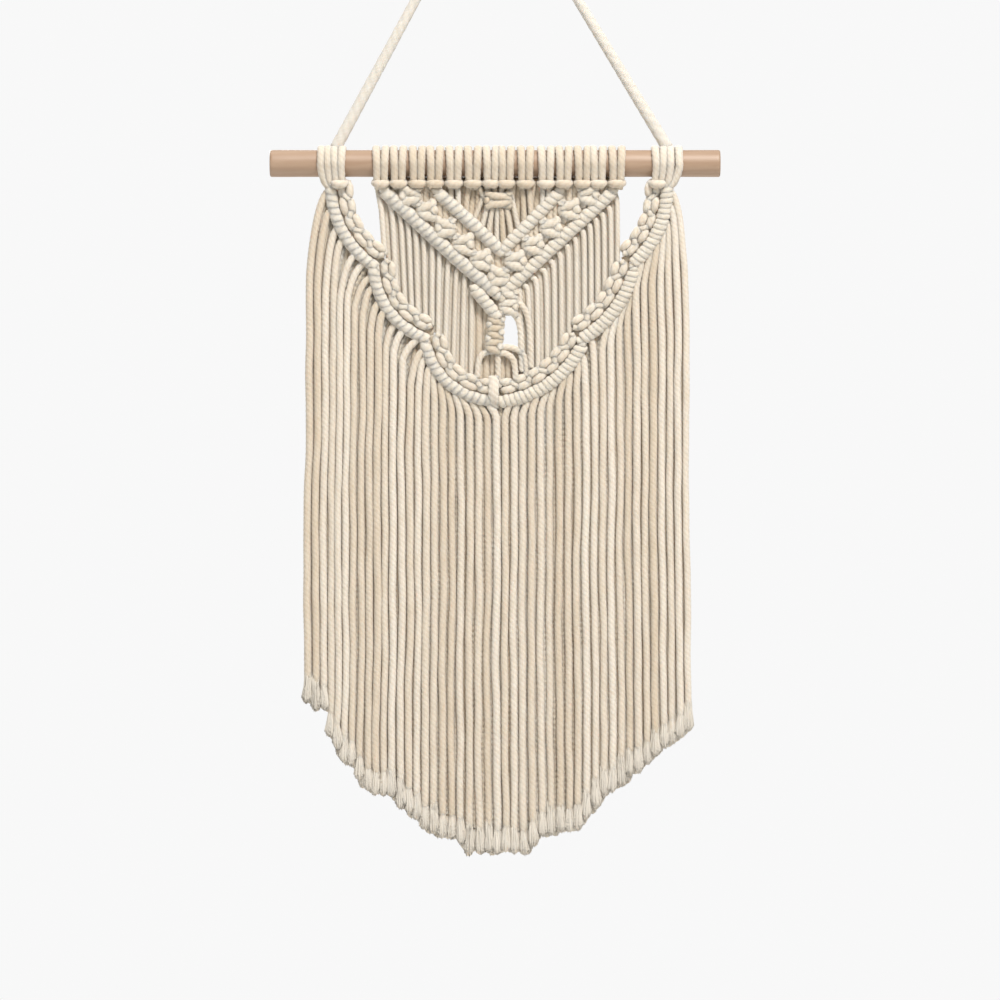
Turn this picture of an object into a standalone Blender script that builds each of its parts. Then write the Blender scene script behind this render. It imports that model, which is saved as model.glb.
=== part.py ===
"""Macrame wall hanging on a wooden rod, hanging from one cord.

Frame: metres, +Z up, the front of the hanging faces -Y. The origin is the point where the
hanging cord is held, so everything else lies below it. The tables are in millimetres:
x is counted from the origin to the right, drop is counted down from the rod's axis.
"""
import math
from collections import namedtuple

import bmesh
import bpy
from mathutils import Matrix, Vector
from mathutils.geometry import interpolate_bezier

MM = 0.001

# Rod
ROD_RADIUS = 7.5
ROD_LEFT = -123.3
ROD_RIGHT = 126.7
ROD_CHAMFER = 0.6
ROD_BELOW_ORIGIN = 164.6

# Cord sizes
STRAND = 3.6                # width of a strand
STRAND_DEPTH = 3.4
WRAP_THICKNESS = 2.2        # a wrap is pulled flat on the rod
FIT = 0.35                  # space kept between pieces that touch
HANGING_CORD_RADIUS = 2.6
CORD_TURN = 0.03            # share of a leg of the hanging cord that belongs to its bend
CORD_STEPS = 12             # points along a leg
HEAD_WIDTH = 8.3            # two wraps side by side
SIDE_HEAD_WIDTH = 7.0       # the tighter wraps of the two side groups
HEAD_GROOVE = 1.3            # depth of the groove between the two wraps
WRAP_CROWN = 0.2            # a wrap is this much thicker in its middle
WRAP_EDGE = 0.3             # and this much thinner at its edge
RING_STEPS = 10
LOOP_DROP = 11.4            # the loop across the front of a lark's head
LOOP_RADIUS = 2.1
LOOP_Y = -7.0
LOOP_CROWN = 0.2            # the loop's middle lies this much lower and further forward
STEM_TOP = 7.9              # the stem of a head starts inside the bottom of its wraps
STEM_Y = -5.6
STEM_NARROWER = 2.3         # how much narrower than its head a stem is
STEM_END = 18.5             # where the stem of a head ends that goes straight into a ridge
FAN_STEM_END = 13.0         # where it ends over the fan of short strands
SIDE_STEM_OVERLAP = 3.0     # how far a side head's stem runs down into its braid
BAR_STEM_OVERLAP = 1.5      # and the outer wraps' stem into its bar

# Points closer than MERGE are one point, faces within FLAT_ANGLE degrees are one face
MERGE = 0.005
FLAT_ANGLE = 2.0

# Depths of the layers, front is -Y
WEB_Y = -4.0
STRAND_Y = -3.2
STRAND_STAGGER = 0.7        # every other strand lies this much further back

# Ridged bars: radius at the ridges and between them, and the distance from ridge to ridge
Bar = namedtuple("Bar", "ridge valley pitch flatten sides")
HITCH_BAR = Bar(ridge=3.6, valley=3.1, pitch=8.0, flatten=1.0, sides=6)
SWAG_BAR = Bar(ridge=3.45, valley=3.0, pitch=8.2, flatten=1.0, sides=6)
BRAID = Bar(ridge=3.45, valley=2.7, pitch=8.4, flatten=0.95, sides=6)
BAND = Bar(ridge=6.9, valley=4.2, pitch=13.2, flatten=0.54, sides=6)
SINNET = Bar(ridge=5.2, valley=3.8, pitch=10.0, flatten=0.75, sides=6)
BRAID_OFFSET = SWAG_BAR.ridge + BRAID.ridge + FIT
BRAID_BEHIND = 0.3
JOINT_REACH = 0.05          # share of an arc that the link at its end runs along
JOINT_THICK = 1.04          # radius of a link over its bar's valley radius: in its middle
JOINT_THIN = 0.84           # and at its ends

# Heading: the middles of the fourteen lark's heads
HEAD_X = (-61.7, -51.9, -41.4, -31.7, -21.1, -10.6, -0.6,
          7.8, 18.6, 30.0, 39.8, 50.3, 58.9, 69.2)
FAN_HEADS = range(4, 10)    # the heads over the fan of short strands

# Side groups of wraps: the outer pair belongs to the swag's bar, the inner one to its braid,
# and the loop that ties the inner pair lies a little to the inside of it
SideGroup = namedtuple("SideGroup", "side outer_x inner_x loop_x cord_x")
SIDE_GROUPS = (
    SideGroup("left", outer_x=-93.0, inner_x=-85.4, loop_x=-83.6, cord_x=-86.9),
    SideGroup("right", outer_x=99.8, inner_x=92.2, loop_x=91.0, cord_x=97.5),
)

# Chevron: ridges of hitches and the band of square knots between them. y is the depth of
# an arm's centre line, a little different for pieces that cross.
Arm = namedtuple("Arm", "bar x0 drop0 x1 drop1 bow y")
CHEVRON = (
    Arm(HITCH_BAR, x0=-61.5, drop0=15.0, x1=3.4, drop1=75.0, bow=-1.5, y=-4.3),
    Arm(HITCH_BAR, x0=69.0, drop0=15.0, x1=4.4, drop1=74.5, bow=-0.3, y=-3.7),
    Arm(HITCH_BAR, x0=-31.5, drop0=15.0, x1=5.0, drop1=51.5, bow=-1.2, y=-4.5),
    Arm(HITCH_BAR, x0=39.5, drop0=15.0, x1=6.0, drop1=50.5, bow=-1.2, y=-4.0),
    Arm(BAND, x0=-45.2, drop0=16.2, x1=4.2, drop1=63.2, bow=-1.0, y=-3.9),
    Arm(BAND, x0=53.1, drop0=16.0, x1=5.0, drop1=62.5, bow=-1.0, y=-3.5),
)
OUTER_LEFT, OUTER_RIGHT, INNER_LEFT, INNER_RIGHT = CHEVRON[:4]

# Swags: three arcs a side, each bowing outwards and down. The fringe of an arc hangs evenly
# between two x positions, off the arc's outer side. A strand has turned to hang straight
# some way below its root: fall0 for the arc's first strand, fall1 for its last.
Swag = namedtuple("Swag", "side x0 drop0 x1 drop1 bow strands hang0 hang1 fall0 fall1 y")
SWAGS = (
    Swag("left", -89.4, 13.6, -65.6, 56.9, 4.9, 6, -101.1, -79.4, 52.0, 24.0, -4.2),
    Swag("left", -65.6, 58.4, -37.2, 96.4, 6.1, 7, -75.1, -49.1, 20.0, 16.0, -4.2),
    Swag("left", -36.0, 99.5, 1.6, 130.4, 7.5, 12, -44.8, 2.8, 22.0, 12.0, -4.2),
    Swag("right", 96.6, 13.6, 78.9, 54.9, 4.4, 8, 110.3, 80.6, 45.0, 20.0, -4.2),
    Swag("right", 77.6, 59.6, 49.4, 96.4, 3.6, 6, 76.3, 54.6, 22.0, 18.0, -4.2),
    Swag("right", 47.8, 100.4, 5.0, 130.2, 5.4, 11, 50.3, 7.1, 22.0, 12.0, -4.2),
)

# Loose strands between an outer ridge of the chevron and the braids of a swag: an even row
# from x0 to x1 on the ridge that hangs to an even row from low0 to low1 in the braids
Loose = namedtuple("Loose", "side ridge count x0 x1 low0 low1")
LOOSE_STRANDS = (
    Loose("left", OUTER_LEFT, 11, -60.6, -8.6, -56.4, -11.2),
    Loose("right", OUTER_RIGHT, 12, 68.4, 13.8, 68.2, 20.4),
)

# Short strands: the fan under the six middle heads, first from the heads to an inner ridge
# or the square knot, then from that knot down; and the strands that leave the sinnet
Short = namedtuple("Short", "x0 drop0 x1 drop1 y")
FAN = (
    Short(-22.8, 11.5, -22.0, 24.0, -5.0), Short(-18.6, 11.5, -17.4, 28.0, -4.8),
    Short(-12.6, 11.5, -13.0, 33.0, -5.0), Short(-8.4, 11.5, -4.4, 19.5, -4.6),
    Short(-2.4, 11.5, -1.0, 19.5, -4.9), Short(1.6, 11.5, 2.2, 19.5, -4.7),
    Short(6.0, 11.5, 5.2, 19.5, -5.0), Short(9.8, 11.5, 10.6, 19.5, -4.8),
    Short(16.4, 11.5, 14.4, 38.0, -4.6), Short(20.8, 11.5, 19.0, 34.0, -4.9),
    Short(28.0, 11.5, 24.2, 30.0, -4.7), Short(32.0, 11.5, 29.2, 24.5, -5.0),
    Short(-3.6, 21.5, -6.6, 37.5, -4.4), Short(0.4, 21.5, -1.2, 43.0, -4.7),
    Short(4.0, 21.5, 3.6, 48.0, -4.5), Short(7.6, 21.5, 9.4, 45.0, -4.8),
)
FAN_KNOT = Short(-5.0, 20.2, 11.4, 20.2, -5.1)
FAN_KNOT_RADII = (2.4, 4.0, 3.2, 4.0, 2.4)     # two swellings, one beside the other

# Below the chevron's tip: a short ridge, the sinnet, and the strands that leave it
TIP_RIDGE = Arm(HITCH_BAR, x0=-8.6, drop0=75.5, x1=2.0, drop1=86.0, bow=0.0, y=-4.9)
SINNET_ARM = Arm(SINNET, x0=4.0, drop0=74.0, x1=3.4, drop1=107.0, bow=0.0, y=-4.0)
TAIL = (
    Short(1.0, 103.5, -7.6, 122.5, -4.4), Short(3.4, 105.0, 3.2, 125.0, -3.7),
    Short(4.6, 105.0, 13.2, 121.5, -4.6), Short(6.4, 103.0, 18.4, 119.0, -4.1),
)
TAIL_BULGE = 3.0
TAIL_TURN = 0.35            # share of its fall over which a bulging strand turns down
LOOSE_LEAVE = 8.0           # a loose strand hangs straight at its top and its bottom end
LOOSE_ARRIVE = 12.0
LOOSE_END = 0.8             # it ends this far past the middle of its braid

# Lower edge of the fringe, left to right
Hem = namedtuple("Hem", "x drop")
HEM = (
    Hem(-104.0, 303.5), Hem(-90.0, 305.0), Hem(-88.0, 322.0), Hem(-77.0, 331.0),
    Hem(-70.0, 343.0), Hem(-56.0, 352.0), Hem(-38.0, 364.0), Hem(-16.0, 378.0),
    Hem(-10.0, 384.0), Hem(12.0, 384.0), Hem(22.0, 376.0), Hem(42.0, 371.0),
    Hem(54.0, 362.0), Hem(66.0, 351.0), Hem(82.0, 339.0), Hem(96.0, 325.0),
    Hem(112.0, 313.0),
)
FRINGE_MIDDLE = 4.5         # the fringe spreads a little on both sides of this x
FRINGE_SPREAD = 1.7
FRINGE_HALF = 106.0
FRINGE_LEAVE = 5.0          # how far a strand heads outwards from its bar before it turns
FRINGE_LEAN = 0.15          # the pull at its turn: shares of its way sideways and of its fall
FRINGE_TURN = 0.35


def place(x, drop, y=WEB_Y):
    """A point in metres from the tables' x and drop and a depth, all in millimetres."""
    return Vector((x * MM, y * MM, -(ROD_BELOW_ORIGIN + drop) * MM))


def clear_scene():
    for item in list(bpy.data.objects):
        bpy.data.objects.remove(item, do_unlink=True)


def new_collection(name):
    collection = bpy.data.collections.new(name)
    bpy.context.scene.collection.children.link(collection)
    return collection


def new_material(name, colour, roughness):
    material = bpy.data.materials.new(name)
    material.use_nodes = True
    shader = material.node_tree.nodes["Principled BSDF"]
    shader.inputs["Base Color"].default_value = (*colour, 1.0)
    shader.inputs["Roughness"].default_value = roughness
    shader.inputs["Metallic"].default_value = 0.0
    return material


def arc_point(arm, along):
    """A point on the circular arc from the arm's start to its end, and its unit normal.

    bow is the height of the arc over its chord, on the side that lies outwards and down.
    """
    start = Vector((arm.x0, arm.drop0))
    chord = Vector((arm.x1, arm.drop1)) - start
    length = chord.length
    forward = chord / length
    normal = Vector((-forward.y, forward.x)) if arm.x0 < arm.x1 else Vector((forward.y, -forward.x))
    sag = abs(arm.bow)
    if sag < 1e-6:
        return start + chord * along, normal
    radius = (length ** 2 / 4 + sag ** 2) / (2 * sag)
    half = math.asin(length / (2 * radius))
    turn = half * (2 * along - 1)
    side = radius * math.sin(turn) + length / 2
    rise = radius * (math.cos(turn) - math.cos(half))
    sign = math.copysign(1.0, arm.bow)
    outward = normal * math.cos(turn) + forward * math.sin(turn) * sign
    return start + forward * side + normal * rise * sign, outward


def tube_mesh(points, radii, sides):
    """A closed tube mesh along the points, from a poly curve with a radius at each point."""
    curve = bpy.data.curves.new("tube", "CURVE")
    curve.dimensions = "3D"
    curve.bevel_depth = 1.0 * MM
    curve.bevel_resolution = sides // 2 - 2
    curve.use_fill_caps = True
    spline = curve.splines.new("POLY")
    spline.points.add(len(points) - 1)
    for slot, point, radius in zip(spline.points, points, radii):
        slot.co = (*point, 1.0)
        slot.radius = radius
    return curve_mesh(curve, Matrix.Identity(4))


def curve_mesh(curve, matrix):
    """A curve's closed mesh, moved by a matrix."""
    holder = bpy.data.objects.new(curve.name, curve)
    bpy.context.scene.collection.objects.link(holder)
    evaluated = holder.evaluated_get(bpy.context.evaluated_depsgraph_get())
    mesh = bpy.data.meshes.new_from_object(evaluated)
    bpy.data.objects.remove(holder, do_unlink=True)
    mesh.transform(matrix)
    weld(mesh)
    return mesh


def weld(mesh):
    """Merge a mesh's doubled points, turn its faces outwards and split them into triangles."""
    work = bmesh.new()
    work.from_mesh(mesh)
    bmesh.ops.remove_doubles(work, verts=work.verts, dist=0.01 * MM)
    bmesh.ops.recalc_face_normals(work, faces=work.faces)
    bmesh.ops.triangulate(work, faces=work.faces)
    work.to_mesh(mesh)
    work.free()


def flatten_mesh(mesh, factor, depth):
    """Squeeze a mesh in Y about the given depth."""
    for vertex in mesh.vertices:
        vertex.co.y = depth * MM + (vertex.co.y - depth * MM) * factor


def ridged_bar(arm, bar=None):
    """A bar along an arm's arc that swells at each ridge."""
    bar = bar or arm.bar
    chord = math.hypot(arm.x1 - arm.x0, arm.drop1 - arm.drop0)
    steps = 2 * max(2, round(chord / bar.pitch))
    points = []
    radii = []
    for step in range(steps + 1):
        spot, _ = arc_point(arm, step / steps)
        points.append(place(spot.x, spot.y, arm.y))
        radii.append(bar.ridge if step % 2 else bar.valley)
    mesh = tube_mesh(points, radii, bar.sides)
    flatten_mesh(mesh, bar.flatten, arm.y)
    return mesh


def strand(path, y, width=STRAND):
    """A flat-sided strand at depth y along points given as (x, drop).

    Its front outline is a filled curve, as wide as the strand, extruded by the strand's depth.
    """
    left_side = []
    right_side = []
    for before, point, after in zip(path[:1] + path[:-1], path, path[1:] + path[-1:]):
        forward = (after - before).normalized()
        across = Vector((-forward.y, forward.x)) * (width / 2)
        left_side.append(point + across)
        right_side.append(point - across)
    outline = left_side + right_side[::-1]
    curve = bpy.data.curves.new("strand", "CURVE")
    curve.dimensions = "2D"
    curve.fill_mode = "BOTH"
    curve.extrude = STRAND_DEPTH / 2 * MM
    spline = curve.splines.new("POLY")
    spline.points.add(len(outline) - 1)
    spline.use_cyclic_u = True
    for slot, corner in zip(spline.points, outline):
        spot = place(corner.x, corner.y)
        slot.co = (spot.x, spot.z, 0.0, 1.0)
    upright = Matrix.Translation((0.0, y * MM, 0.0)) @ Matrix.Rotation(math.pi / 2, 4, "X")
    return curve_mesh(curve, upright)


def bend(x0, drop0, x1, drop1, x2, drop2, x3, drop3, count):
    """Points (x, drop) of a curve from the first point to the last, pulled to the two others."""
    points = interpolate_bezier(Vector((x0, drop0, 0)), Vector((x1, drop1, 0)),
                                Vector((x2, drop2, 0)), Vector((x3, drop3, 0)), count)
    return [point.to_2d() for point in points]


def rod_ring(x, width):
    """Two wraps round the rod, side by side: a grooved profile spun about the rod's axis."""
    inner = (ROD_RADIUS + FIT) / math.cos(math.pi / RING_STEPS)
    outer = inner + WRAP_THICKNESS
    profile = (
        (-width / 2, inner), (-width / 2, outer - WRAP_EDGE), (-width / 4, outer + WRAP_CROWN),
        (0.0, outer - HEAD_GROOVE), (width / 4, outer + WRAP_CROWN),
        (width / 2, outer - WRAP_EDGE), (width / 2, inner),
    )
    work = bmesh.new()
    corners = [work.verts.new(place(x + across, -radius, 0.0)) for across, radius in profile]
    edges = [work.edges.new((a, b)) for a, b in zip(corners, corners[1:] + corners[:1])]
    bmesh.ops.spin(work, geom=corners + edges, cent=place(x, 0.0, 0.0), axis=(1, 0, 0),
                   angle=math.tau, steps=RING_STEPS, use_merge=True)
    mesh = bpy.data.meshes.new("ring")
    work.to_mesh(mesh)
    work.free()
    weld(mesh)
    return mesh


def lark_head(x, width, loop_x, stem_end):
    """Two wraps round the rod, the loop across their front, and the flat stem behind it."""
    half = width / 2 - LOOP_RADIUS * 0.4
    loop = tube_mesh([place(loop_x - half, LOOP_DROP, LOOP_Y),
                      place(loop_x, LOOP_DROP + LOOP_CROWN, LOOP_Y - LOOP_CROWN),
                      place(loop_x + half, LOOP_DROP, LOOP_Y)], [LOOP_RADIUS] * 3, 6)
    stem = strand([Vector((loop_x, STEM_TOP)), Vector((loop_x, LOOP_DROP)), stem_end], STEM_Y,
                  width - STEM_NARROWER)
    return [rod_ring(x, width), loop, stem]


def signed_volume(faces):
    """Volume inside a group of faces, negative where they face inwards."""
    total = 0.0
    for face in faces:
        corners = [vertex.co for vertex in face.verts]
        for second, third in zip(corners[1:], corners[2:]):
            total += corners[0].dot(second.cross(third)) / 6
    return total


def tidy_union(mesh):
    """Merge the sliver faces that a union leaves, and remove the shells inside the solid."""
    work = bmesh.new()
    work.from_mesh(mesh)
    bmesh.ops.remove_doubles(work, verts=work.verts, dist=MERGE * MM)
    bmesh.ops.dissolve_degenerate(work, dist=MERGE * MM, edges=work.edges)
    bmesh.ops.dissolve_limit(work, angle_limit=math.radians(FLAT_ANGLE), verts=work.verts,
                             edges=work.edges)
    bmesh.ops.triangulate(work, faces=work.faces)
    waiting = set(work.faces)
    while waiting:
        shell = set()
        front = [waiting.pop()]
        while front:
            face = front.pop()
            shell.add(face)
            for edge in face.edges:
                for other in edge.link_faces:
                    if other in waiting:
                        waiting.discard(other)
                        front.append(other)
        if signed_volume(shell) < 0:
            bmesh.ops.delete(work, geom=list(shell), context="FACES")
    work.to_mesh(mesh)
    work.free()


def fuse(name, meshes, collection, material):
    """One solid from many closed meshes, joined by an exact Boolean union."""
    cutters = new_collection(name + "_pieces")
    pieces = []
    for mesh in meshes:
        piece = bpy.data.objects.new(name + "_piece", mesh)
        piece.hide_render = True
        piece.display_type = "WIRE"
        pieces.append(piece)
    base = pieces[0]
    bpy.context.scene.collection.objects.link(base)
    for piece in pieces[1:]:
        cutters.objects.link(piece)
    union = base.modifiers.new("union", "BOOLEAN")
    union.operation = "UNION"
    union.solver = "EXACT"
    union.operand_type = "COLLECTION"
    union.collection = cutters
    evaluated = base.evaluated_get(bpy.context.evaluated_depsgraph_get())
    mesh = bpy.data.meshes.new_from_object(evaluated)
    for piece in pieces:
        bpy.data.objects.remove(piece, do_unlink=True)
    bpy.data.collections.remove(cutters)
    tidy_union(mesh)
    mesh.name = name
    add_object(name, mesh, collection, material)


def add_object(name, mesh, collection, material):
    mesh.materials.clear()
    mesh.materials.append(material)
    item = bpy.data.objects.new(name, mesh)
    collection.objects.link(item)
    return item


def make_rod(collection, material):
    """The rod, turned about its own axis, with its two rims eased."""
    length = (ROD_RIGHT - ROD_LEFT) * MM
    bpy.ops.mesh.primitive_cylinder_add(vertices=32, radius=ROD_RADIUS * MM, depth=length,
                                        rotation=(0.0, math.pi / 2, 0.0),
                                        location=place((ROD_LEFT + ROD_RIGHT) / 2, 0.0, 0.0))
    rod = bpy.context.object
    rod.name = "rod"
    rod.data.materials.append(material)
    for other in list(rod.users_collection):
        other.objects.unlink(rod)
    collection.objects.link(rod)
    bevel = rod.modifiers.new("eased_rims", "BEVEL")
    bevel.width = ROD_CHAMFER * MM
    bevel.segments = 1
    bevel.limit_method = "ANGLE"
    bevel.angle_limit = math.radians(60)
    rod.data.shade_smooth()
    rod.data.set_sharp_from_angle(angle=math.radians(40))


def hanging_cord_route():
    """The taut cord: up from the left group, over its holding point, down to the right group."""
    clear = ROD_RADIUS + 3 * FIT + WRAP_THICKNESS + WRAP_CROWN + HANGING_CORD_RADIUS / 2
    left = place(SIDE_GROUPS[0].cord_x, -clear, 0.0)
    right = place(SIDE_GROUPS[1].cord_x, -clear, 0.0)
    top = Vector((0.0, 0.0, HANGING_CORD_RADIUS * MM))
    before = top.lerp(left, CORD_TURN)
    after = top.lerp(right, CORD_TURN)
    rise = [left.lerp(before, step / CORD_STEPS) for step in range(CORD_STEPS)]
    turn = interpolate_bezier(before, top.lerp(left, CORD_TURN / 3),
                              top.lerp(right, CORD_TURN / 3), after, 7)
    fall = [after.lerp(right, step / CORD_STEPS) for step in range(1, CORD_STEPS + 1)]
    return rise + turn + fall


def make_hanging_cord(collection, material):
    route = hanging_cord_route()
    curve = bpy.data.curves.new("hanging_cord", "CURVE")
    curve.dimensions = "3D"
    curve.bevel_depth = HANGING_CORD_RADIUS * MM
    curve.bevel_resolution = 2
    curve.use_fill_caps = True
    spline = curve.splines.new("POLY")
    spline.points.add(len(route) - 1)
    for slot, point in zip(spline.points, route):
        slot.co = (*point, 1.0)
    curve.materials.append(material)
    collection.objects.link(bpy.data.objects.new("hanging_cord", curve))


def heading_meshes():
    """Fourteen lark's heads; the outer four of each side go straight into ridges and band."""
    meshes = []
    for index, x in enumerate(HEAD_X):
        end = FAN_STEM_END if index in FAN_HEADS else STEM_END
        meshes += lark_head(x, HEAD_WIDTH, x, Vector((x, end)))
    return meshes


def drop_at(arms, x):
    """How far down a row of arcs lies at an x, found by halving along the arc nearest to it."""
    arm = min(arms, key=lambda arc: max(min(arc.x0, arc.x1) - x, x - max(arc.x0, arc.x1)))
    low, high = 0.0, 1.0
    for _ in range(20):
        middle = (low + high) / 2
        spot, _normal = arc_point(arm, middle)
        if (spot.x < x) == (arm.x0 < arm.x1):
            low = middle
        else:
            high = middle
    return arc_point(arm, low)[0].y


def loose_strands(row):
    """The strands that hang from an outer ridge of the chevron to a swag's braids."""
    braids = [braid_arm(swag) for swag in SWAGS if swag.side == row.side]
    meshes = []
    for index in range(row.count):
        share = index / (row.count - 1)
        top_x = row.x0 + (row.x1 - row.x0) * share
        low_x = row.low0 + (row.low1 - row.low0) * share
        top = drop_at([row.ridge], top_x)
        low = drop_at(braids, low_x) + LOOSE_END
        y = STRAND_Y + (index % 2) * STRAND_STAGGER
        path = bend(top_x, top, top_x, top + LOOSE_LEAVE, low_x, low - LOOSE_ARRIVE, low_x, low, 4)
        meshes.append(strand(path, y))
    return meshes


def short_strand(row, bulge=0.0):
    """A short strand; with a bulge it leaves its knot sideways and turns down to its end."""
    if not bulge:
        return strand([Vector((row.x0, row.drop0)), Vector((row.x1, row.drop1))], row.y)
    side = row.x0 + math.copysign(bulge, row.x1 - row.x0)
    level = row.drop0 + (row.drop1 - row.drop0) * TAIL_TURN
    return strand(bend(row.x0, row.drop0, side, row.drop0, row.x1, level, row.x1, row.drop1, 4),
                  row.y)


def braid_arm(swag):
    """The arc of a swag's braid: its bar's arc moved inwards by one bar's width."""
    start, start_out = arc_point(swag, 0.0)
    end, end_out = arc_point(swag, 1.0)
    first = start - start_out * BRAID_OFFSET
    last = end - end_out * BRAID_OFFSET
    return Arm(BRAID, first.x, first.y, last.x, last.y, swag.bow, swag.y + BRAID_BEHIND)


def arc_joints(arms, bar):
    """Links that round the corner from the end of each arc of a side to the start of the next."""
    links = []
    for upper, lower in zip(arms, arms[1:]):
        route = [(upper, 1.0 - JOINT_REACH), (upper, 1.0), (lower, 0.0), (lower, JOINT_REACH)]
        spots = [place(*arc_point(arm, along)[0], arm.y) for arm, along in route]
        thick = bar.valley * JOINT_THICK
        thin = bar.valley * JOINT_THIN
        links.append(tube_mesh(spots, [thin, thick, thick, thin], bar.sides))
    return links


def knotwork_meshes():
    meshes = [ridged_bar(arm) for arm in CHEVRON]
    meshes += heading_meshes()
    for row in LOOSE_STRANDS:
        meshes += loose_strands(row)
    meshes += [short_strand(row) for row in FAN]
    meshes.append(square_knot(FAN_KNOT))
    meshes += [ridged_bar(TIP_RIDGE), ridged_bar(SINNET_ARM)]
    meshes += [short_strand(row, TAIL_BULGE) for row in TAIL]
    for group in SIDE_GROUPS:
        braids = [braid_arm(swag) for swag in SWAGS if swag.side == group.side]
        meshes += [ridged_bar(braid) for braid in braids]
        meshes += arc_joints(braids, BRAID)
        end = Vector((braids[0].x0, braids[0].drop0 + SIDE_STEM_OVERLAP))
        meshes += lark_head(group.inner_x, SIDE_HEAD_WIDTH, group.loop_x, end)
    return meshes


def square_knot(row):
    """The knot that gathers the fan's middle strands, lying across them."""
    last = len(FAN_KNOT_RADII) - 1
    points = [place(row.x0 + (row.x1 - row.x0) * step / last, row.drop0, row.y)
              for step in range(last + 1)]
    return tube_mesh(points, FAN_KNOT_RADII, 6)


def hem_drop(x):
    """The fringe's length at an x, read between the rows of the hem table."""
    for left, right in zip(HEM, HEM[1:]):
        if x <= right.x:
            share = max(0.0, (x - left.x) / (right.x - left.x))
            return left.drop + (right.drop - left.drop) * share
    return HEM[-1].drop


def fringe_strand(swag, number):
    """A strand that leaves the bar outwards, bends down and hangs to the hem."""
    root, outward = arc_point(swag, (number + 0.5) / swag.strands)
    share = number / (swag.strands - 1)
    hang_x = swag.hang0 + (swag.hang1 - swag.hang0) * share
    fall = swag.fall0 + (swag.fall1 - swag.fall0) * share
    leave = root + outward * FRINGE_LEAVE
    above_x = hang_x + (root.x - hang_x) * FRINGE_LEAN
    path = bend(root.x, root.y, leave.x, leave.y, above_x, root.y + fall * FRINGE_TURN,
                hang_x, root.y + fall, 5)
    bottom_x = hang_x + FRINGE_SPREAD * (hang_x - FRINGE_MIDDLE) / FRINGE_HALF
    path.append(Vector((bottom_x, hem_drop(bottom_x))))
    return strand(path, STRAND_Y + (number % 2) * STRAND_STAGGER)


def fringe_meshes(side):
    """The three bars of one side, their strands, and the wraps that hang them on the rod."""
    group = next(row for row in SIDE_GROUPS if row.side == side)
    swags = [row for row in SWAGS if row.side == side]
    top = swags[0]
    meshes = [ridged_bar(swag, SWAG_BAR) for swag in swags]
    meshes += arc_joints(swags, SWAG_BAR)
    meshes.append(rod_ring(group.outer_x, SIDE_HEAD_WIDTH))
    meshes.append(strand([Vector((group.outer_x, STEM_TOP)),
                          Vector((top.x0, top.drop0 + BAR_STEM_OVERLAP))], STEM_Y,
                         SIDE_HEAD_WIDTH - STEM_NARROWER))
    for swag in swags:
        meshes += [fringe_strand(swag, number) for number in range(swag.strands)]
    return meshes


def main():
    clear_scene()
    hanging = new_collection("macrame_wall_hanging")
    pine = new_material("pine", (0.55, 0.36, 0.22), 0.55)
    cotton = new_material("cotton_cord", (0.82, 0.76, 0.66), 0.92)
    make_rod(hanging, pine)
    make_hanging_cord(hanging, cotton)
    fuse("knotwork", knotwork_meshes(), hanging, cotton)
    fuse("fringe_left", fringe_meshes("left"), hanging, cotton)
    fuse("fringe_right", fringe_meshes("right"), hanging, cotton)


main()
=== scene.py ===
"""Looks of the macrame wall hanging: twisted cotton cord, knotted by hand on a pine rod.

Shapes are worked out in millimetres in the hanging's own frame: x to the right, y towards the
wall, z up from the rod's axis, so a drop below the rod is -z. The front faces -y. Every cord is
one function, twisted_cord, carried along a path; the knots are paths too.
"""
import math
from collections import namedtuple

import bpy
import numpy as np
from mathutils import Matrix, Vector


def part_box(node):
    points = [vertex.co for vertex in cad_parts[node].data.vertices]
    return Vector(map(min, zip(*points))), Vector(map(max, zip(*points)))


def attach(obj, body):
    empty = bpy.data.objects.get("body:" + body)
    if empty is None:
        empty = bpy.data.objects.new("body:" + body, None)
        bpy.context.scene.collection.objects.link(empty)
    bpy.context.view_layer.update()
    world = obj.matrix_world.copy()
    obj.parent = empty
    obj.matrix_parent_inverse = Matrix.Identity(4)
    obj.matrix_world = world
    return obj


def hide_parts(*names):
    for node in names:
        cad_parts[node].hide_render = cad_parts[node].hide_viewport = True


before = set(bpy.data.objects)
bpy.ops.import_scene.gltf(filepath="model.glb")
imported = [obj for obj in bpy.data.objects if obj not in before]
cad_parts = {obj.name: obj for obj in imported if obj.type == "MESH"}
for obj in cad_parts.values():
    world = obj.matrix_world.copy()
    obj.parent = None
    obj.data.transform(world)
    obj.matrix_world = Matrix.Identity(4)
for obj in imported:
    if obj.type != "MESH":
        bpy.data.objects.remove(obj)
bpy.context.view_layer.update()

MM = 0.001
rod_low, rod_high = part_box("rod")
ROD_Z = (rod_low.z + rod_high.z) / 2          # metres, the rod's axis in the row frame
ROD_RADIUS = (rod_high.z - rod_low.z) / 2 / MM
ROD_LEFT = rod_low.x / MM
ROD_RIGHT = rod_high.x / MM

FRONT = np.array([0.0, -1.0, 0.0])
draw = np.random.default_rng(12)

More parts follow.
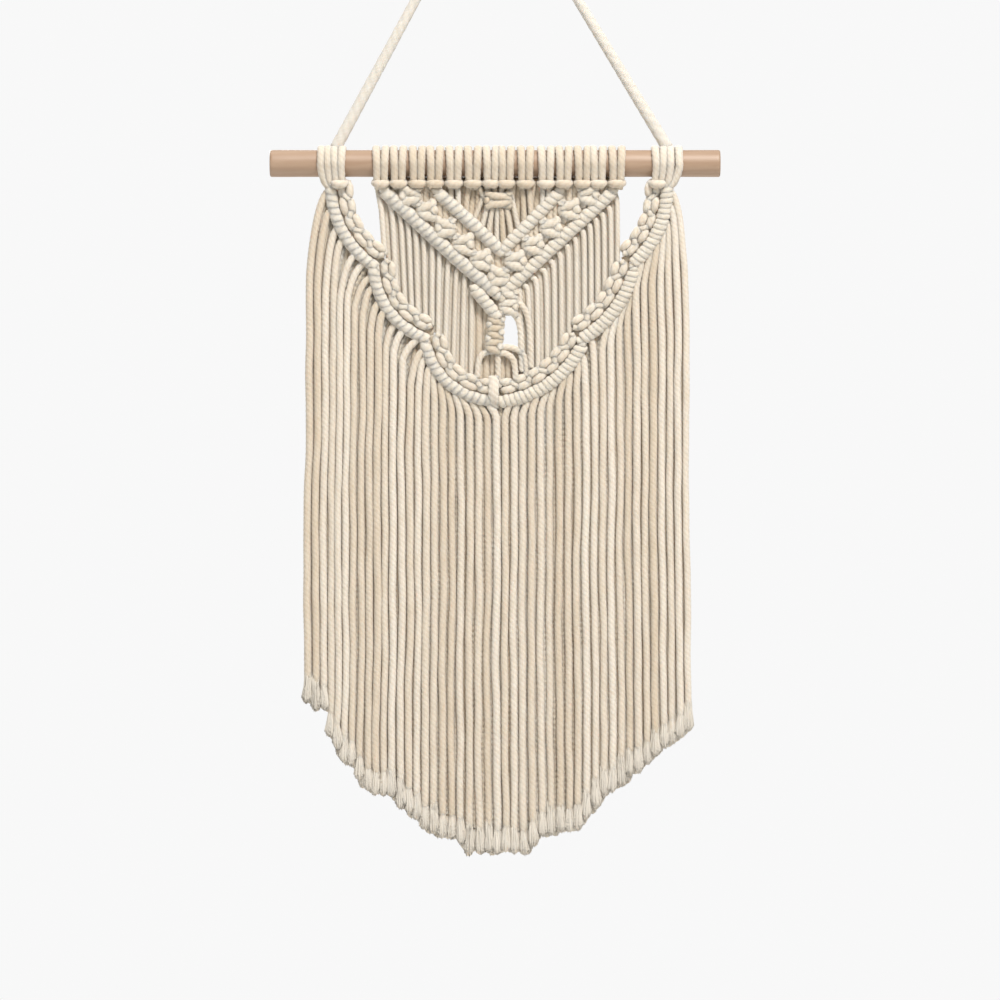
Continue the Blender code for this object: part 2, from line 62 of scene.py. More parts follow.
# Cords, in mm: half widths, the length of one full turn of the three plies, and how far apart a
# cord's rings lie
STRAND_HALF = 2.05
LOOSE_HALF = 1.6
STRAND_PITCH = 9.0
PLIES = 3
PLY_CREASE = 0.13           # how deep the creases between plies are, as a share of the radius
SIDES = 12
BACK_SIDES = 8              # strands behind others have fewer sides, and single fibres the fewest
FIBRE_SIDES = 4
RING_STEP = 1.3
STRAND_STEP = 1.6
FINE_STEP = 0.9             # where a cord turns tightly
COIL_LINE_STEP = 0.25       # points along the line that hitches wind round
KNOT_LINE_STEP = 0.2        # and along the line that knots lie on
PATTERN_SPAN = 400.0        # a cord's fibres start anywhere in this length of the pattern
CURVE_POINTS = 16           # between two points that a curve is drawn through
ARC_POINTS = 60
LEAST_BOW = 0.01            # a straight arm is an arc with this bow
WANDER = ((1.0, 1.0), (0.5, 0.55), (0.27, 0.35))    # share of the wave and of the size, each sine
WANDER_TOTAL = 1.9

# A piece's colour runs from light to warm with its tint, from 0 to 1. A tint, a width or a length
# that is given as a pair is drawn between the two.

# Rod heads: their middles, left to right, and the points that their cord is drawn through
HEAD_X = (-61.7, -51.9, -41.4, -31.7, -21.1, -10.6, -0.6,
          7.8, 18.6, 30.0, 39.8, 50.3, 58.9, 69.2)
WRAP_HALF_WIDTH = 2.3
WRAP_HALF_DEPTH = 1.35
WRAP_RADIUS = ROD_RADIUS + WRAP_HALF_DEPTH
WRAP_SPREAD = 2.25          # from a head's middle to the middle of each of its two wraps
WRAP_SPLAY = 0.5            # how much further apart two wraps lie on top of the rod
LOOP_SWELL = 0.45           # a head's loop is this much thicker than its ends
SWELL_FROM, SWELL_RUN = 7.2, 1.4    # from this far in front of the rod's axis, over this run
HEAD_HALF_WIDTH = 2.1       # a head's cord below the rod, where it is nearly round
HEAD_HALF_DEPTH = 1.9
FLAT_FROM, FLAT_RUN = 10.5, 4.0     # it flattens upwards from this drop, over this run
WRAP_CENTRE_DROP = 1.5      # wraps lie square to a line this far under the rod's axis
WRAP_TURN = np.array([215.0, 180.0, 135.0, 90.0, 45.0, 5.0, -24.0])     # degrees round the rod
PLAIN_TURN = np.array([190.0, 135.0, 90.0, 45.0, 5.0, -22.0])
LOOP_MIDDLE = (12.0, -8.9)  # drop and y of the middle of a head's loop
LOOP_UNEVEN = 0.2
LOOP_SIDE = np.array([[2.0, 12.0, -8.6], [3.2, 11.5, -6.2], [3.2, 10.4, -1.0]])     # x out, drop, y
WRAP_UNEVEN = 0.15
WRAP_FOOT = (0.4, 9.6, 2.6)     # behind the rod, where a wrap starts: x out, drop, y
HEAD_END = np.array([[9.3, -6.6], [11.6, -5.8], [14.2, -4.4]])      # drop and y down a head's end
HEAD_GATHER = 0.85          # a head's ends spread by this share of its wraps' spread
HEAD_TINT = (0.45, 0.85)
PLAIN_START = (5.0, 7.4)    # drop and y behind the rod, where a plain wrap starts
PLAIN_FOOT = (9.0, -6.8)    # and below its front, where it leaves the rod
PLAIN_TINT = (0.2, 0.5)
# The cord under the rod fills the holes between the heads; its tint of 1.0, the warm end, is
# painted shade there
UNDER_ROD = (8.9, 4.2)      # drop and y of the cord under the rod that the heads close on
UNDER_ROD_HALF = 1.8
UNDER_ROD_POINTS = 90

# Hanging cord: its legs start behind the wraps, at a drop above the rod's axis. They would meet
# this far above the point it hangs from, and bend round a circle of this radius below that.
HANGING_CORD_START = -8.6
HANGING_CORD_MEET = 5.0
HOOK_BEND = 8.0
BEND_POINTS = 9
LEG_POINTS = 8
CORD_HALF = 2.8
CORD_PITCH = 19.0
CORD_STEP = 1.2
CORD_SPREAD = 0.7           # the cord flattens towards the wraps that hold it
CORD_SPREAD_RUN = 110.0

# Rod
ROD_RIM = 0.8               # the rims are eased off by this much, over the same length
ROD_RINGS = 120
ROD_SIDES = 64
ROD_WAVER, ROD_WAVE = 0.05, 60.0    # the radius wavers by this much, over this length

# Arms: the ridges of hitches, and the short ridge and sinnet below. bow is how far an arm's arc
# swells outwards and down over its chord.
Arm = namedtuple("Arm", "x0 drop0 x1 drop1 bow y")
OUTER_LEFT = Arm(-60.6, 14.6, 3.8, 73.4, 0.7, -4.6)
OUTER_RIGHT = Arm(68.2, 14.6, 4.4, 73.6, 0.0, -4.2)
INNER_LEFT = Arm(-31.5, 15.2, 5.4, 49.6, -0.4, -4.8)
INNER_RIGHT = Arm(38.7, 14.6, 5.0, 49.0, 0.3, -4.4)
TIP_RIDGE = Arm(-10.6, 68.8, 3.6, 86.0, 0.0, -5.4)
SINNET_TOP = Arm(9.6, 71.0, 8.8, 84.5, 0.0, -4.6)
SINNET = Arm(2.4, 86.0, 0.6, 105.5, 0.0, -4.4)
ARMS_MEET = 4.0             # x where the left arms end and the right ones begin

# Hitches: the radius to their outside, the length of one, and half of a hitch's width as a share
# of that length (over a half, hitches press into each other)
Hitch = namedtuple("Hitch", "radius pitch fill")
RIDGES = (
    (INNER_LEFT, Hitch(3.9, 3.7, 0.8)), (INNER_RIGHT, Hitch(3.8, 3.7, 0.62)),
    (OUTER_LEFT, Hitch(4.1, 3.7, 0.85)), (OUTER_RIGHT, Hitch(3.9, 3.7, 0.62)),
    (TIP_RIDGE, Hitch(3.7, 3.7, 0.7)),
)
BARS = {"left": Hitch(3.5, 3.7, 0.8), "right": Hitch(4.0, 3.0, 0.62)}
BAR_PAST = 2.6              # a bar's hitches run this far over each end of its arc
HITCH_SLANT = 0.2           # each turn leans along the arm by this share of its pitch
HITCH_DEPTH = 1.15
HITCH_PAIRING = 0.05        # of a turn, by which two turns lie closer
HITCH_TINT = 0.2
HITCH_CORD_PITCH = 16.0
TURN_WANDER, REACH_WANDER = (1.0, 17.0), (0.12, 9.0)    # size and wave of the unevenness
END_REACH = 3.6             # a rounded end is drawn in over this length, down to this share
END_SHARE = 0.3

# Square knots: how many halves, half of the width, how far the front cord rises and half of its
# width, how many cords are in the core, how far the back cord comes forward at the edges, and how
# uneven they are, in mm
Knot = namedtuple("Knot", "halves half_width rise cord_half core side_rise uneven")
BAND_KNOT = Knot(2, 7.0, 1.9, 2.75, 2, 1.7, 0.3)
GATHER_KNOT = Knot(2, 8.4, 2.2, 2.1, 3, 1.6, 0.25)
SINNET_TOP_KNOTS = Knot(3, 6.2, 2.2, 2.3, 2, 1.8, 0.25)
SINNET_KNOTS = Knot(5, 5.6, 2.4, 2.15, 2, 2.0, 0.25)
KNOT_POINTS = 22            # for each half knot
FRONT_SINK = 0.3            # the front cord lies this much lower at the edges
FRONT_HURRY, BACK_HURRY = 0.6, 0.2  # how much a cord moves on at the edges instead of across
HALF_KNOT_RUN = 4           # mm of unevenness for each half knot, and its waves across and along
ACROSS_WAVE, ALONG_WAVE = 13.0, 17.0
ALONG_UNEVEN = 0.12         # share of the unevenness that is along
CORE_SPACING = 1.6          # between cords of the core, in half widths

# The band's square knots: their middles, x and drop
BAND_KNOTS = ((-45.4, 18.6), (-36.2, 26.9), (-25.9, 36.4), (-16.0, 45.5), (-6.2, 54.2),
              (53.6, 18.4), (43.0, 26.4), (32.6, 36.6), (22.8, 46.2), (13.0, 54.8), (3.6, 63.4))
BAND_Y = -4.9
BAND_KNOT_HALF = 5.2        # half of a knot's height
BAND_LEAN = 0.5             # a knot leans by up to this much, either way
BAND_STRANDS = (-58.0, 66.0, 3.6)   # the strands behind them: from x to x, and how far apart
BAND_STRAND_HALF = 2.2
BAND_STRAND_BACK = 2.2      # they lie this far behind the knots' cores
BAND_STRAND_LEAST = 4.0     # and are left out where they would be shorter than this
HEADS_FOOT = 11.0           # drop where the band's strands come out of the heads

# Swags, the top arc first: the arc of each bar, how far below it its first and last strand hang
# straight, and where each strand hangs
Swag = namedtuple("Swag", "side x0 drop0 x1 drop1 bow y fall0 fall1 hang")
SWAGS = (
    Swag("left", -89.4, 13.6, -65.8, 56.9, 6.0, -4.2, 52.0, 24.0,
         (-101.1, -96.6, -92.4, -88.0, -84.4, -80.4)),
    Swag("left", -65.6, 58.4, -38.0, 97.0, 7.0, -4.2, 20.0, 16.0,
         (-76.4, -71.8, -67.4, -63.1, -59.0, -54.6, -49.8)),
    Swag("left", -36.8, 100.4, 0.4, 131.8, 8.5, -4.2, 22.0, 12.0,
         (-45.3, -40.8, -36.4, -31.8, -27.0, -22.2, -17.4, -12.4, -7.4, -2.4, 2.6)),
    Swag("right", 97.0, 13.6, 79.2, 55.0, 5.0, -4.2, 45.0, 20.0,
         (107.0, 102.6, 98.2, 93.6, 89.0, 84.4, 79.9)),
    Swag("right", 78.6, 60.4, 50.5, 97.2, 4.4, -4.2, 22.0, 18.0,
         (75.3, 70.6, 65.8, 61.2, 56.6)),
    Swag("right", 49.4, 102.2, 6.0, 132.2, 6.6, -4.2, 22.0, 12.0,
         (51.8, 46.9, 42.1, 37.0, 31.8, 26.8, 21.8, 16.8, 12.0, 7.2)),
)
BRAID_OFFSET = 8.2          # from a bar's middle to its braid's
BRAID_BACK = 0.3            # a braid lies this far behind its bar
BRAID_START = -0.06         # share of the bar's arc where its braid starts
BRAID_PAST = 1.5            # a braid runs this far over each end of its arc
BRAID_KNOT = 9.2            # length of one knot of a braid
BRAID_POINTS = 14           # for each of its knots
BRAID_LOBE = 2.15           # from a braid's middle to each of its two lobes
BRAID_HALF = 4.4            # half of a braid's width
BRAID_RELIEF = {"left": (1.0, 0.4), "right": (1.3, 1.3)}    # how far lobes rise, and dive between
BRAID_TINT = 0.3
LOBE_HALF_WIDTH, LOBE_HALF_DEPTH = 2.35, 2.1
LOBE_DRAWN = 0.6            # each lobe lies this much further in, in each dip
LOBE_NECK = 0.22            # and is thinner there by this share
LOBE_STEP = 0.06            # how far each lobe is out of step, in knots
STEP_WANDER, ACROSS_WANDER, OUT_WANDER = (0.05, 2.3), (0.2, 3.1), (0.2, 1.7)
TIE_HALF = 1.75             # the tying cord, how far it stays in from the edge, and how far it
TIE_INSET = 1.5             # rises and dives about a line in front of the middle
TIE_RELIEF = 0.9
TIE_FRONT = 0.3
BRAID_CORE = (3.0, 2.0)     # half width and half depth of the cord behind
BRAID_CORE_BACK = 1.4
SEAM_OFFSET = 4.2           # from a bar's middle to the cord behind, between bar and braid
SEAM_Y = -1.6
SEAM_PAST = 4.0             # it runs this far over each end of its arc
SEAM_HALF = (2.5, 1.8)

# Side groups of wraps: an outer pair that goes into the bar, an inner one over the braid
SideGroup = namedtuple("SideGroup", "side outer inner loop_x cord_x")
SIDE_GROUPS = (
    SideGroup("left", (-94.7, -91.1), (-87.2, -83.6), -84.6, -86.9),
    SideGroup("right", (103.6, 98.9), (94.9, 91.1), 91.6, 97.5),
)
GROUP_SPREAD = 1.9
GROUP_GATHER = 0.25         # the outer wraps' ends are this share as far apart in the bar
GROUP_END = (0.5, -5.2)     # their drop below the bar's start, and y

# Strands between an outer ridge and a swag's braids: where each leaves its ridge, where it ends
Loose = namedtuple("Loose", "root x")
LOOSE_LEFT = (
    Loose(-63.3, -59.4), Loose(-58.5, -52.4), Loose(-53.4, -47.8), Loose(-48.5, -44.2),
    Loose(-43.6, -40.8), Loose(-38.9, -36.8), Loose(-33.2, -33.4), Loose(-28.7, -30.0),
    Loose(-23.2, -26.2), Loose(-18.4, -21.8), Loose(-14.2, -16.8), Loose(-10.6, -11.8),
)
LOOSE_RIGHT = (
    Loose(67.6, 69.7), Loose(61.6, 66.1), Loose(57.6, 62.4), Loose(54.2, 58.6),
    Loose(51.0, 55.0), Loose(47.4, 51.3), Loose(43.0, 47.0), Loose(38.4, 42.8),
    Loose(33.8, 38.6), Loose(28.9, 34.8), Loose(23.6, 30.6), Loose(18.7, 25.4), Loose(14.2, 20.6),
)

# Such a strand at five points along it: the share of its shift sideways and how far down, no
# further than a share of its length; then y, for the front layer and for the back one
LEFT_LEAN, LEFT_FALL = (0.0, 0.15, 0.5, 0.85, 1.0), (0.0, 4.0, 12.0, 60.0, 90.0)
RIGHT_LEAN, RIGHT_FALL = (0.0, 0.55, 0.92, 1.0, 1.0), (0.0, 3.0, 9.0, 60.0, 90.0)
LOOSE_SHARE = np.array([0.0, 0.15, 0.4, 0.8, 1.0])
LOOSE_FRONT_Y = np.array([-1.6, -2.4, -3.2, -3.4, -3.6])
LOOSE_BACK_Y = np.array([1.6, 1.2, 0.6, 0.0, -0.4])
LOOSE_WIDTH, LOOSE_TINT = (0.95, 1.08), (0.0, 0.3)
LOOSE_BACK_WIDTH = 1.55     # the back layer's strands are this much wider, to close the gaps

# Short strands. The fan's run from the middle heads, or its gathering knot, to a ridge or knot.
Short = namedtuple("Short", "x0 drop0 x1 drop1 y")
FAN = (
    Short(-22.8, 11.0, -22.6, 24.0, -5.0), Short(-19.2, 11.0, -18.6, 27.5, -4.8),
    Short(-12.4, 11.0, -14.6, 31.0, -5.0), Short(-8.6, 11.0, -4.4, 19.5, -4.6),
    Short(-2.4, 11.0, -1.0, 19.5, -4.9), Short(1.4, 11.0, 2.2, 19.5, -4.7),
    Short(6.0, 11.0, 5.2, 19.5, -5.0), Short(9.6, 11.0, 10.6, 19.5, -4.8),
    Short(16.8, 11.0, 18.2, 38.0, -4.6), Short(20.4, 11.0, 22.4, 34.0, -4.9),
    Short(28.2, 11.0, 27.2, 28.0, -4.7), Short(31.8, 11.0, 31.4, 23.5, -5.0),
    Short(-4.4, 18.0, -11.0, 34.0, -4.4), Short(-2.6, 24.0, -6.6, 38.0, -4.7),
    Short(0.4, 24.5, -2.4, 42.0, -4.9), Short(3.0, 24.5, 2.8, 47.0, -4.5),
    Short(5.2, 24.5, 6.4, 47.0, -5.1), Short(7.8, 24.0, 11.4, 43.0, -4.8),
    Short(10.6, 18.0, 15.4, 39.0, -4.4),
)
FAN_HALF = LOOSE_HALF + 0.1
FAN_UNEVEN = 0.5            # how far a strand's middle strays to either side
FAN_BACKING = 17            # strands behind, evenly spread from the rod to the inner ridges
FAN_BACKING_TOP = (-25.8, 34.6)
FAN_BACKING_FOOT = (-26.2, 30.6)
FAN_BACKING_START = 10.0
FAN_BACKING_Y = -1.6
FAN_BACKING_HALF = 2.1
FAN_KNOT = Arm(3.3, 16.6, 3.3, 25.0, 0.0, -5.4)

# The tail's strands leave the sinnet, and shoulder out before they fall
TAIL = (
    Short(2.0, 104.7, -8.1, 119.5, -4.6), Short(3.1, 104.5, 3.4, 125.0, -4.0),
    Short(2.2, 105.6, 13.2, 120.8, -4.9), Short(3.4, 102.4, 19.2, 118.8, -4.3),
    Short(8.0, 83.2, 16.6, 116.0, -4.0), Short(10.0, 78.0, 21.6, 114.0, -4.4),
    Short(11.0, 64.0, 16.2, 114.0, -2.0), Short(4.6, 66.0, 3.2, 90.0, -1.8),
)
TAIL_SHIFT = np.array([0.0, 0.46, 0.85, 0.97, 1.0])
TAIL_FALL = np.array([0.0, 0.0, 0.2, 0.58, 1.0])
TAIL_HALF = 1.9
TAIL_TINT = (0.1, 0.4)

# Strands behind the tail, x and the drop where each starts, down to one foot; the strand behind the
# lowest joint, and the broad wrap over that joint, which bends in at its ends
TAIL_BACKING = ((-11.0, 62.0), (-7.0, 66.0), (-3.2, 70.0), (0.8, 72.0), (5.2, 104.0),
                (9.4, 101.0), (13.8, 103.2), (18.0, 66.0))
TAIL_BACKING_FOOT = 121.0
TAIL_BACKING_Y = -0.4
TAIL_BACKING_HALF = 2.2
TAIL_FILLER = Short(4.9, 129.0, 4.9, 152.0, -1.4)
TAIL_JOINT = Short(0.9, 118.5, 0.9, 136.0, -7.4)
TAIL_JOINT_BEND = np.array([2.4, 0.0, 0.0, 4.0])
TAIL_JOINT_HALF = (3.1, 1.7)

# Lower edge of the fringe, left to right
Hem = namedtuple("Hem", "x drop")
HEM = (
    Hem(-105.0, 300.0), Hem(-99.0, 303.4), Hem(-91.6, 304.8), Hem(-90.4, 318.0),
    Hem(-86.0, 324.0), Hem(-84.6, 331.0), Hem(-74.0, 337.5), Hem(-72.6, 347.0),
    Hem(-66.0, 351.6), Hem(-57.5, 350.4), Hem(-50.0, 359.0), Hem(-40.0, 366.0),
    Hem(-35.5, 372.0), Hem(-17.0, 378.0), Hem(-14.5, 384.0), Hem(20.5, 383.6),
    Hem(23.5, 375.4), Hem(47.0, 370.6), Hem(62.0, 353.0), Hem(82.0, 338.0),
    Hem(94.0, 327.0), Hem(111.0, 314.0),
)
HEM_UNEVEN = (-1.2, 0.6)
FRINGE_MIDDLE = 4.5         # x of the fringe's middle, and half of its width
FRINGE_HALF = 106.0
FRINGE_SPREAD = 1.7         # the fringe widens this much on each side on its way down
FRINGE_LEAVE = 5.0          # a strand leaves its bar at right angles over this length
FRINGE_BEND = (0.15, 0.35)  # then bends: share of the way across left, and of the fall behind
TURN_POINTS, FALL_POINTS = 7, 9
FRINGE_FRONT_Y, FRONT_UNEVEN = -3.6, (-0.8, 0.7)
FRINGE_BACK_Y = -0.9
FRONT_WIDTH, FRONT_TINT = (0.98, 1.12), (0.0, 0.8)
BACK_WIDTH, BACK_TINT = (0.9, 1.12), (0.0, 0.9)
SHOULDER_SHARE = 0.03       # where along the top bar a side's outermost strand leaves it
ROOT_STAGGER = 0.12         # roots lie closer in pairs
BACK_ROOT = 0.75            # a back strand's root, in steps of the front ones, and how far along
BACK_ROOT_LAST = 0.98       # its bar the last may lie
LAST_BACK_X = 7.2           # the right side's last strand, which the left side's back row runs to
STRAND_MERGE = 5.0          # a strand narrows into its frayed end over this length, by this share
STRAND_NECK = 0.18
STRAND_END = 0.82           # and down to this one

# Sway of the fringe: neighbours sway nearly alike, each strand a little by itself, and all of it
# less near the bar. Each wave's length down and across (over a full turn), and its part of the sway
FRINGE_WAVES = ((160.0, 31.0, 1.0), (71.0, 17.0, 0.4))
FRINGE_WAVES_TOTAL = 1.3
FRINGE_SWAY = 0.45
FRONT_SWAY, BACK_SWAY, SWAY_WAVE = 0.4, 0.15, 120.0
DEPTH_SWAY, DEPTH_WAVE = 0.35, 80.0
SWAY_EASE = 60

# Strands straight down behind the bars, which close the gaps there. Their tint, near the warm
# end, is painted shade in those gaps
LINING_LENGTH = 34.0
LINING_SHARES = (0.02, 1.04)
LINING_SHADE_TINT = 0.8

# The frayed end of a strand: its length, and half of its width and depth
TUFT_LENGTH = 12.0
TUFT_WIDTH = 3.7
TUFT_DEPTH = 2.7
LENGTH_SHARE, WIDTH_SHARE = (0.95, 1.08), (0.85, 1.15)
TUFT_RISE = (0.1, 0.8)      # share of its length by which its fibres start up the strand
TUFT_LEAN = 0.8
TUFT_CREASE, TUFT_PITCH = 0.04, 90.0
TUFT_SWELL = 1.2            # power of the share down it by which it widens
TUFT_CLOSE = 0.58           # share down it where it starts to close
TUFT_BULB = 0.97            # the bulb lies just inside its fibres
TUFT_TINT = 0.3             # combed out, a strand looks this much less warm
TUFT_FIBRES = 44
GOLDEN_ANGLE = 2.39996      # between one fibre and the next, so that they spread evenly
FIBRE_HALF = 0.42
FIBRE_POINTS = 6
FIBRE_TURN = 0.2            # unevenness of a fibre's angle, of its bend in mm, and of its tint
FIBRE_BEND = 0.35
FIBRE_TINT = 0.15
FIBRE_OUT = (0.84, 1.0)     # how far out it lies, as a share of the bulb
FIBRE_LOWEST = 0.4          # share down the bulb where the last fibres start
FIBRE_SHORT = (-0.06, 0.0)


# ---------------------------------------------------------------- paths

def place(x, drop, y):
    """Points (x, y, -drop), from numbers or arrays."""
    x, drop, y = np.broadcast_arrays(np.asarray(x, float), drop, y)
    return np.stack([x, y, -drop], axis=-1)


def smooth(points, step=RING_STEP):
    """Points every `step` mm along the Catmull-Rom curve through the given points.

    Between b and c, with neighbours a and d, the curve is
    (2b + (c-a)t + (2a-5b+4c-d)t^2 + (3b-a-3c+d)t^3) / 2 for t from 0 to 1.
    """
    points = np.asarray(points, float)
    padded = np.vstack([2 * points[0] - points[1], points, 2 * points[-1] - points[-2]])
    a, b, c, d = (padded[i:len(points) - 1 + i, None] for i in range(4))
    t = np.linspace(0, 1, CURVE_POINTS, endpoint=False)[None, :, None]
    curve = (2 * b + (c - a) * t + (2 * a - 5 * b + 4 * c - d) * t ** 2
             + (3 * b - a - 3 * c + d) * t ** 3) / 2
    return even(np.vstack([curve.reshape(-1, 3), points[-1:]]), step)


def even(points, step):
    """The same line with its points spaced evenly, close to `step` mm apart."""
    run = np.concatenate([[0], np.cumsum(np.linalg.norm(np.diff(points, axis=0), axis=1))])
    count = max(2, int(round(run[-1] / step)) + 1)
    wanted = np.linspace(0, run[-1], count)
    return np.stack([np.interp(wanted, run, points[:, axis]) for axis in range(3)], axis=1)


def arc(arm, along):
    """Points (x, drop) of an arm's circular arc at shares `along` of it, and outward normals.

    The radius is (chord^2 / 4 + bow^2) / (2 bow); the angle runs evenly from one end to the other.
    """
    along = np.asarray(along, float)[..., None]
    start = np.array([arm.x0, arm.drop0])
    chord = np.array([arm.x1, arm.drop1]) - start
    length = np.hypot(*chord)
    forward = chord / length
    normal = np.array([-forward[1], forward[0]]) * (1 if arm.x0 < arm.x1 else -1)
    bow = arm.bow if abs(arm.bow) > LEAST_BOW else LEAST_BOW
    radius = (length ** 2 / 4 + bow ** 2) / (2 * abs(bow))
    half = math.asin(min(1.0, length / (2 * radius)))
    turn = half * (2 * along - 1)
    side = radius * np.sin(turn) + length / 2
    rise = radius * (np.cos(turn) - math.cos(half)) * math.copysign(1, bow)
    outward = normal * np.cos(turn) + forward * np.sin(turn) * math.copysign(1, bow)
    return start + forward * side + normal * rise, outward


def arm_line(arm, step=RING_STEP, past=0.0):
    """An arm's centre line as evenly spaced points, with its outward normals.

    It runs `past` mm over each end of the arm.
    """
    length = math.hypot(arm.x1 - arm.x0, arm.drop1 - arm.drop0)
    count = max(3, int((length + 2 * past) / step) + 1)
    spots, outward = arc(arm, np.linspace(-past / length, 1 + past / length, count))
    return (place(spots[:, 0], spots[:, 1], arm.y),
            np.stack([outward[:, 0], np.zeros(count), -outward[:, 1]], axis=1))


def drop_at(arms, x):
    """How far down a row of arcs lies at an x, read on the arc nearest to it."""
    arm = min(arms, key=lambda a: max(min(a.x0, a.x1) - x, x - max(a.x0, a.x1)))
    spots, _ = arc(arm, np.linspace(0, 1, ARC_POINTS))
    order = np.argsort(spots[:, 0])
    return float(np.interp(x, spots[order, 0], spots[order, 1]))


def wander(length, size, wave):
    """A slow random sway in mm along a line: three sines of falling size and random start."""
    total = np.zeros_like(length)
    for share, part in WANDER:
        total += part * np.sin(length / (wave * share) * math.tau + draw.uniform(0, math.tau))
    return total * size / WANDER_TOTAL


# ---------------------------------------------------------------- cords and meshes

class Cords:
    """The cords of one piece: rings of points, with their place along and round each cord."""

    def __init__(self, sides=SIDES):
        self.sides = sides
        self.rings = []
        self.counts = []
        self.along = []
        self.tints = []
        self.grooves = []

    def twisted_cord(self, path, half_width, half_depth=None, front=FRONT, pitch=STRAND_PITCH,
                     crease=PLY_CREASE, tint=None, taper=None):
        """A cord of three plies along a path.

        Its section at angle a is r = 1 - crease * (1 - |cos(3a / 2)|), which has three round
        plies with a crease between them. It turns by one full turn for each pitch, and is then
        stretched to half_width across the front and half_depth towards it.
        """
        path = np.asarray(path, float)
        half_depth = half_width if half_depth is None else half_depth
        along = np.gradient(path, axis=0)
        along /= np.linalg.norm(along, axis=1, keepdims=True) + 1e-12
        front = np.broadcast_to(front, path.shape)
        side = np.cross(along, front)
        side /= np.linalg.norm(side, axis=1, keepdims=True) + 1e-12
        ahead = np.cross(side, along)
        run = np.concatenate([[0], np.cumsum(np.linalg.norm(np.diff(path, axis=0), axis=1))])
        corner = np.arange(self.sides) * math.tau / self.sides
        groove = 1 - np.abs(np.cos(PLIES * corner / 2))
        taper = np.ones(len(path)) if taper is None else taper
        size = (1 - crease * groove)[None, :] * taper[:, None]
        start = draw.uniform(0, math.tau)
        angle = corner[None, :] + start + run[:, None] * math.tau / pitch
        across = (np.broadcast_to(half_width, run.shape)[:, None] * size * np.cos(angle))[..., None]
        out = (np.broadcast_to(half_depth, run.shape)[:, None] * size * np.sin(angle))[..., None]
        ring = path[:, None] + across * side[:, None] + out * ahead[:, None]
        self.rings.append(ring.reshape(-1, 3))
        self.counts.append(len(path))
        self.along.append(run + draw.uniform(0, PATTERN_SPAN))
        tint = draw.uniform() if tint is None else tint
        self.tints.append(np.full(len(path) * self.sides, tint))
        # the crease mask, kept only for cords with creases, is darkened in the material as painted
        # shade
        self.grooves.append(np.tile(groove if crease else groove * 0, len(path)))

    def mesh(self, name):
        """One mesh of all the cords: four-sided faces between rings, and a flat face at each end.

        The UV map holds the length along a cord in mm and the share of the way round it.
        """
        sides = self.sides
        corners, starts, uvs = [], [], []
        base = loop = 0
        k = np.arange(sides)
        after = (k + 1) % sides
        for count, run in zip(self.counts, self.along):
            row = base + np.arange(count - 1)[:, None] * sides
            quads = np.stack([row + k, row + sides + k, row + sides + after, row + after], axis=-1)
            corners.append(quads.ravel())
            starts.append(loop + 4 * np.arange(quads.shape[0] * sides))
            here, there, low, high = np.broadcast_arrays(run[:-1, None], run[1:, None],
                                                         k / sides, (k + 1) / sides)
            u = np.stack([here, there, there, here], axis=-1)
            v = np.stack([low, low, high, high], axis=-1)
            uvs.append(np.stack([u.ravel(), v.ravel()], axis=1))
            loop += quads.size
            last = base + (count - 1) * sides
            corners += [base + k, last + k[::-1]]
            starts += [np.array([loop]), np.array([loop + sides])]
            uvs += [np.stack([np.full(sides, run[0]), k / sides], axis=1),
                    np.stack([np.full(sides, run[-1]), k[::-1] / sides], axis=1)]
            loop += 2 * sides
            base += count * sides
        made = bpy.data.meshes.new(name)
        corners = np.concatenate(corners).astype(np.int32)
        starts = np.concatenate(starts).astype(np.int32)
        made.vertices.add(base)
        made.vertices.foreach_set("co", to_row_frame(np.vstack(self.rings)).ravel())
        made.loops.add(len(corners))
        made.loops.foreach_set("vertex_index", corners)
        made.polygons.add(len(starts))
        made.polygons.foreach_set("loop_start", starts)
        made.polygons.foreach_set("use_smooth", np.ones(len(starts), bool))
        made.update(calc_edges=True)
        uvs = np.concatenate(uvs).astype(np.float32)
        made.uv_layers.new(name="cord").data.foreach_set("uv", uvs.ravel())
        # groove marks the ply creases, where the material paints shade
        for attribute, values in (("tint", self.tints), ("groove", self.grooves)):
            values = np.concatenate(values).astype(np.float32)
            made.attributes.new(attribute, "FLOAT", "POINT").data.foreach_set("value", values)
        return made


def to_row_frame(points):
    """Millimetres round the rod's axis to metres in the row frame."""
    return (np.asarray(points) * MM + np.array([0, 0, ROD_Z])).astype(np.float32)


def show(mesh, material, nodes):
    """Put a mesh into the scene as a piece that moves with the hanging, in place of its solids."""
    piece = bpy.data.objects.new(mesh.name, mesh)
    bpy.context.scene.collection.objects.link(piece)
    mesh.materials.append(material)
    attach(piece, "root")
    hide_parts(*nodes)
    return piece


# ---------------------------------------------------------------- materials

# Cotton: bundles of fibres, so many a mm along a cord and so many round it. They are 0.4 mm wide,
# coarser than the real fibres, so that they show.
FIBRES = (0.16, 34.0, 1.0)
PATCHES_A_METRE = 70.0      # warmer and paler patches about 14 mm across
SLUBS_A_METRE = 900.0       # thicker and thinner places about 1 mm across
PATCH_TONE = 0.5            # colour range taken by patches, fibres and painted crease shade
FIBRE_TONE = 0.28
CREASE_SHADE = 0.16
FIBRE_BUMP = 0.00035        # metres
GLOW = 0.6                  # how much light comes through from below a thick cord's surface

# Pine: each pattern's steps a metre, along the rod and across it. Drift is the slow change
# between pale and warm wood, pores are 8 mm long and half a millimetre wide.
DRIFT_A_METRE = (9.0, 150.0, 150.0)
PORES_A_METRE = (120.0, 1900.0, 1900.0)
RING_TILT = (0.35, 0.02, 0.0)       # growth rings lie aslant in the rod, and are long along it
RING_STRETCH = (0.25, 1.0, 1.0)
RINGS_A_METRE = 100.0
RING_TONE = 0.28
PALE_WOOD, WARM_WOOD, LATE_WOOD = "#B99F87", "#9A7C62", "#8E6C50"


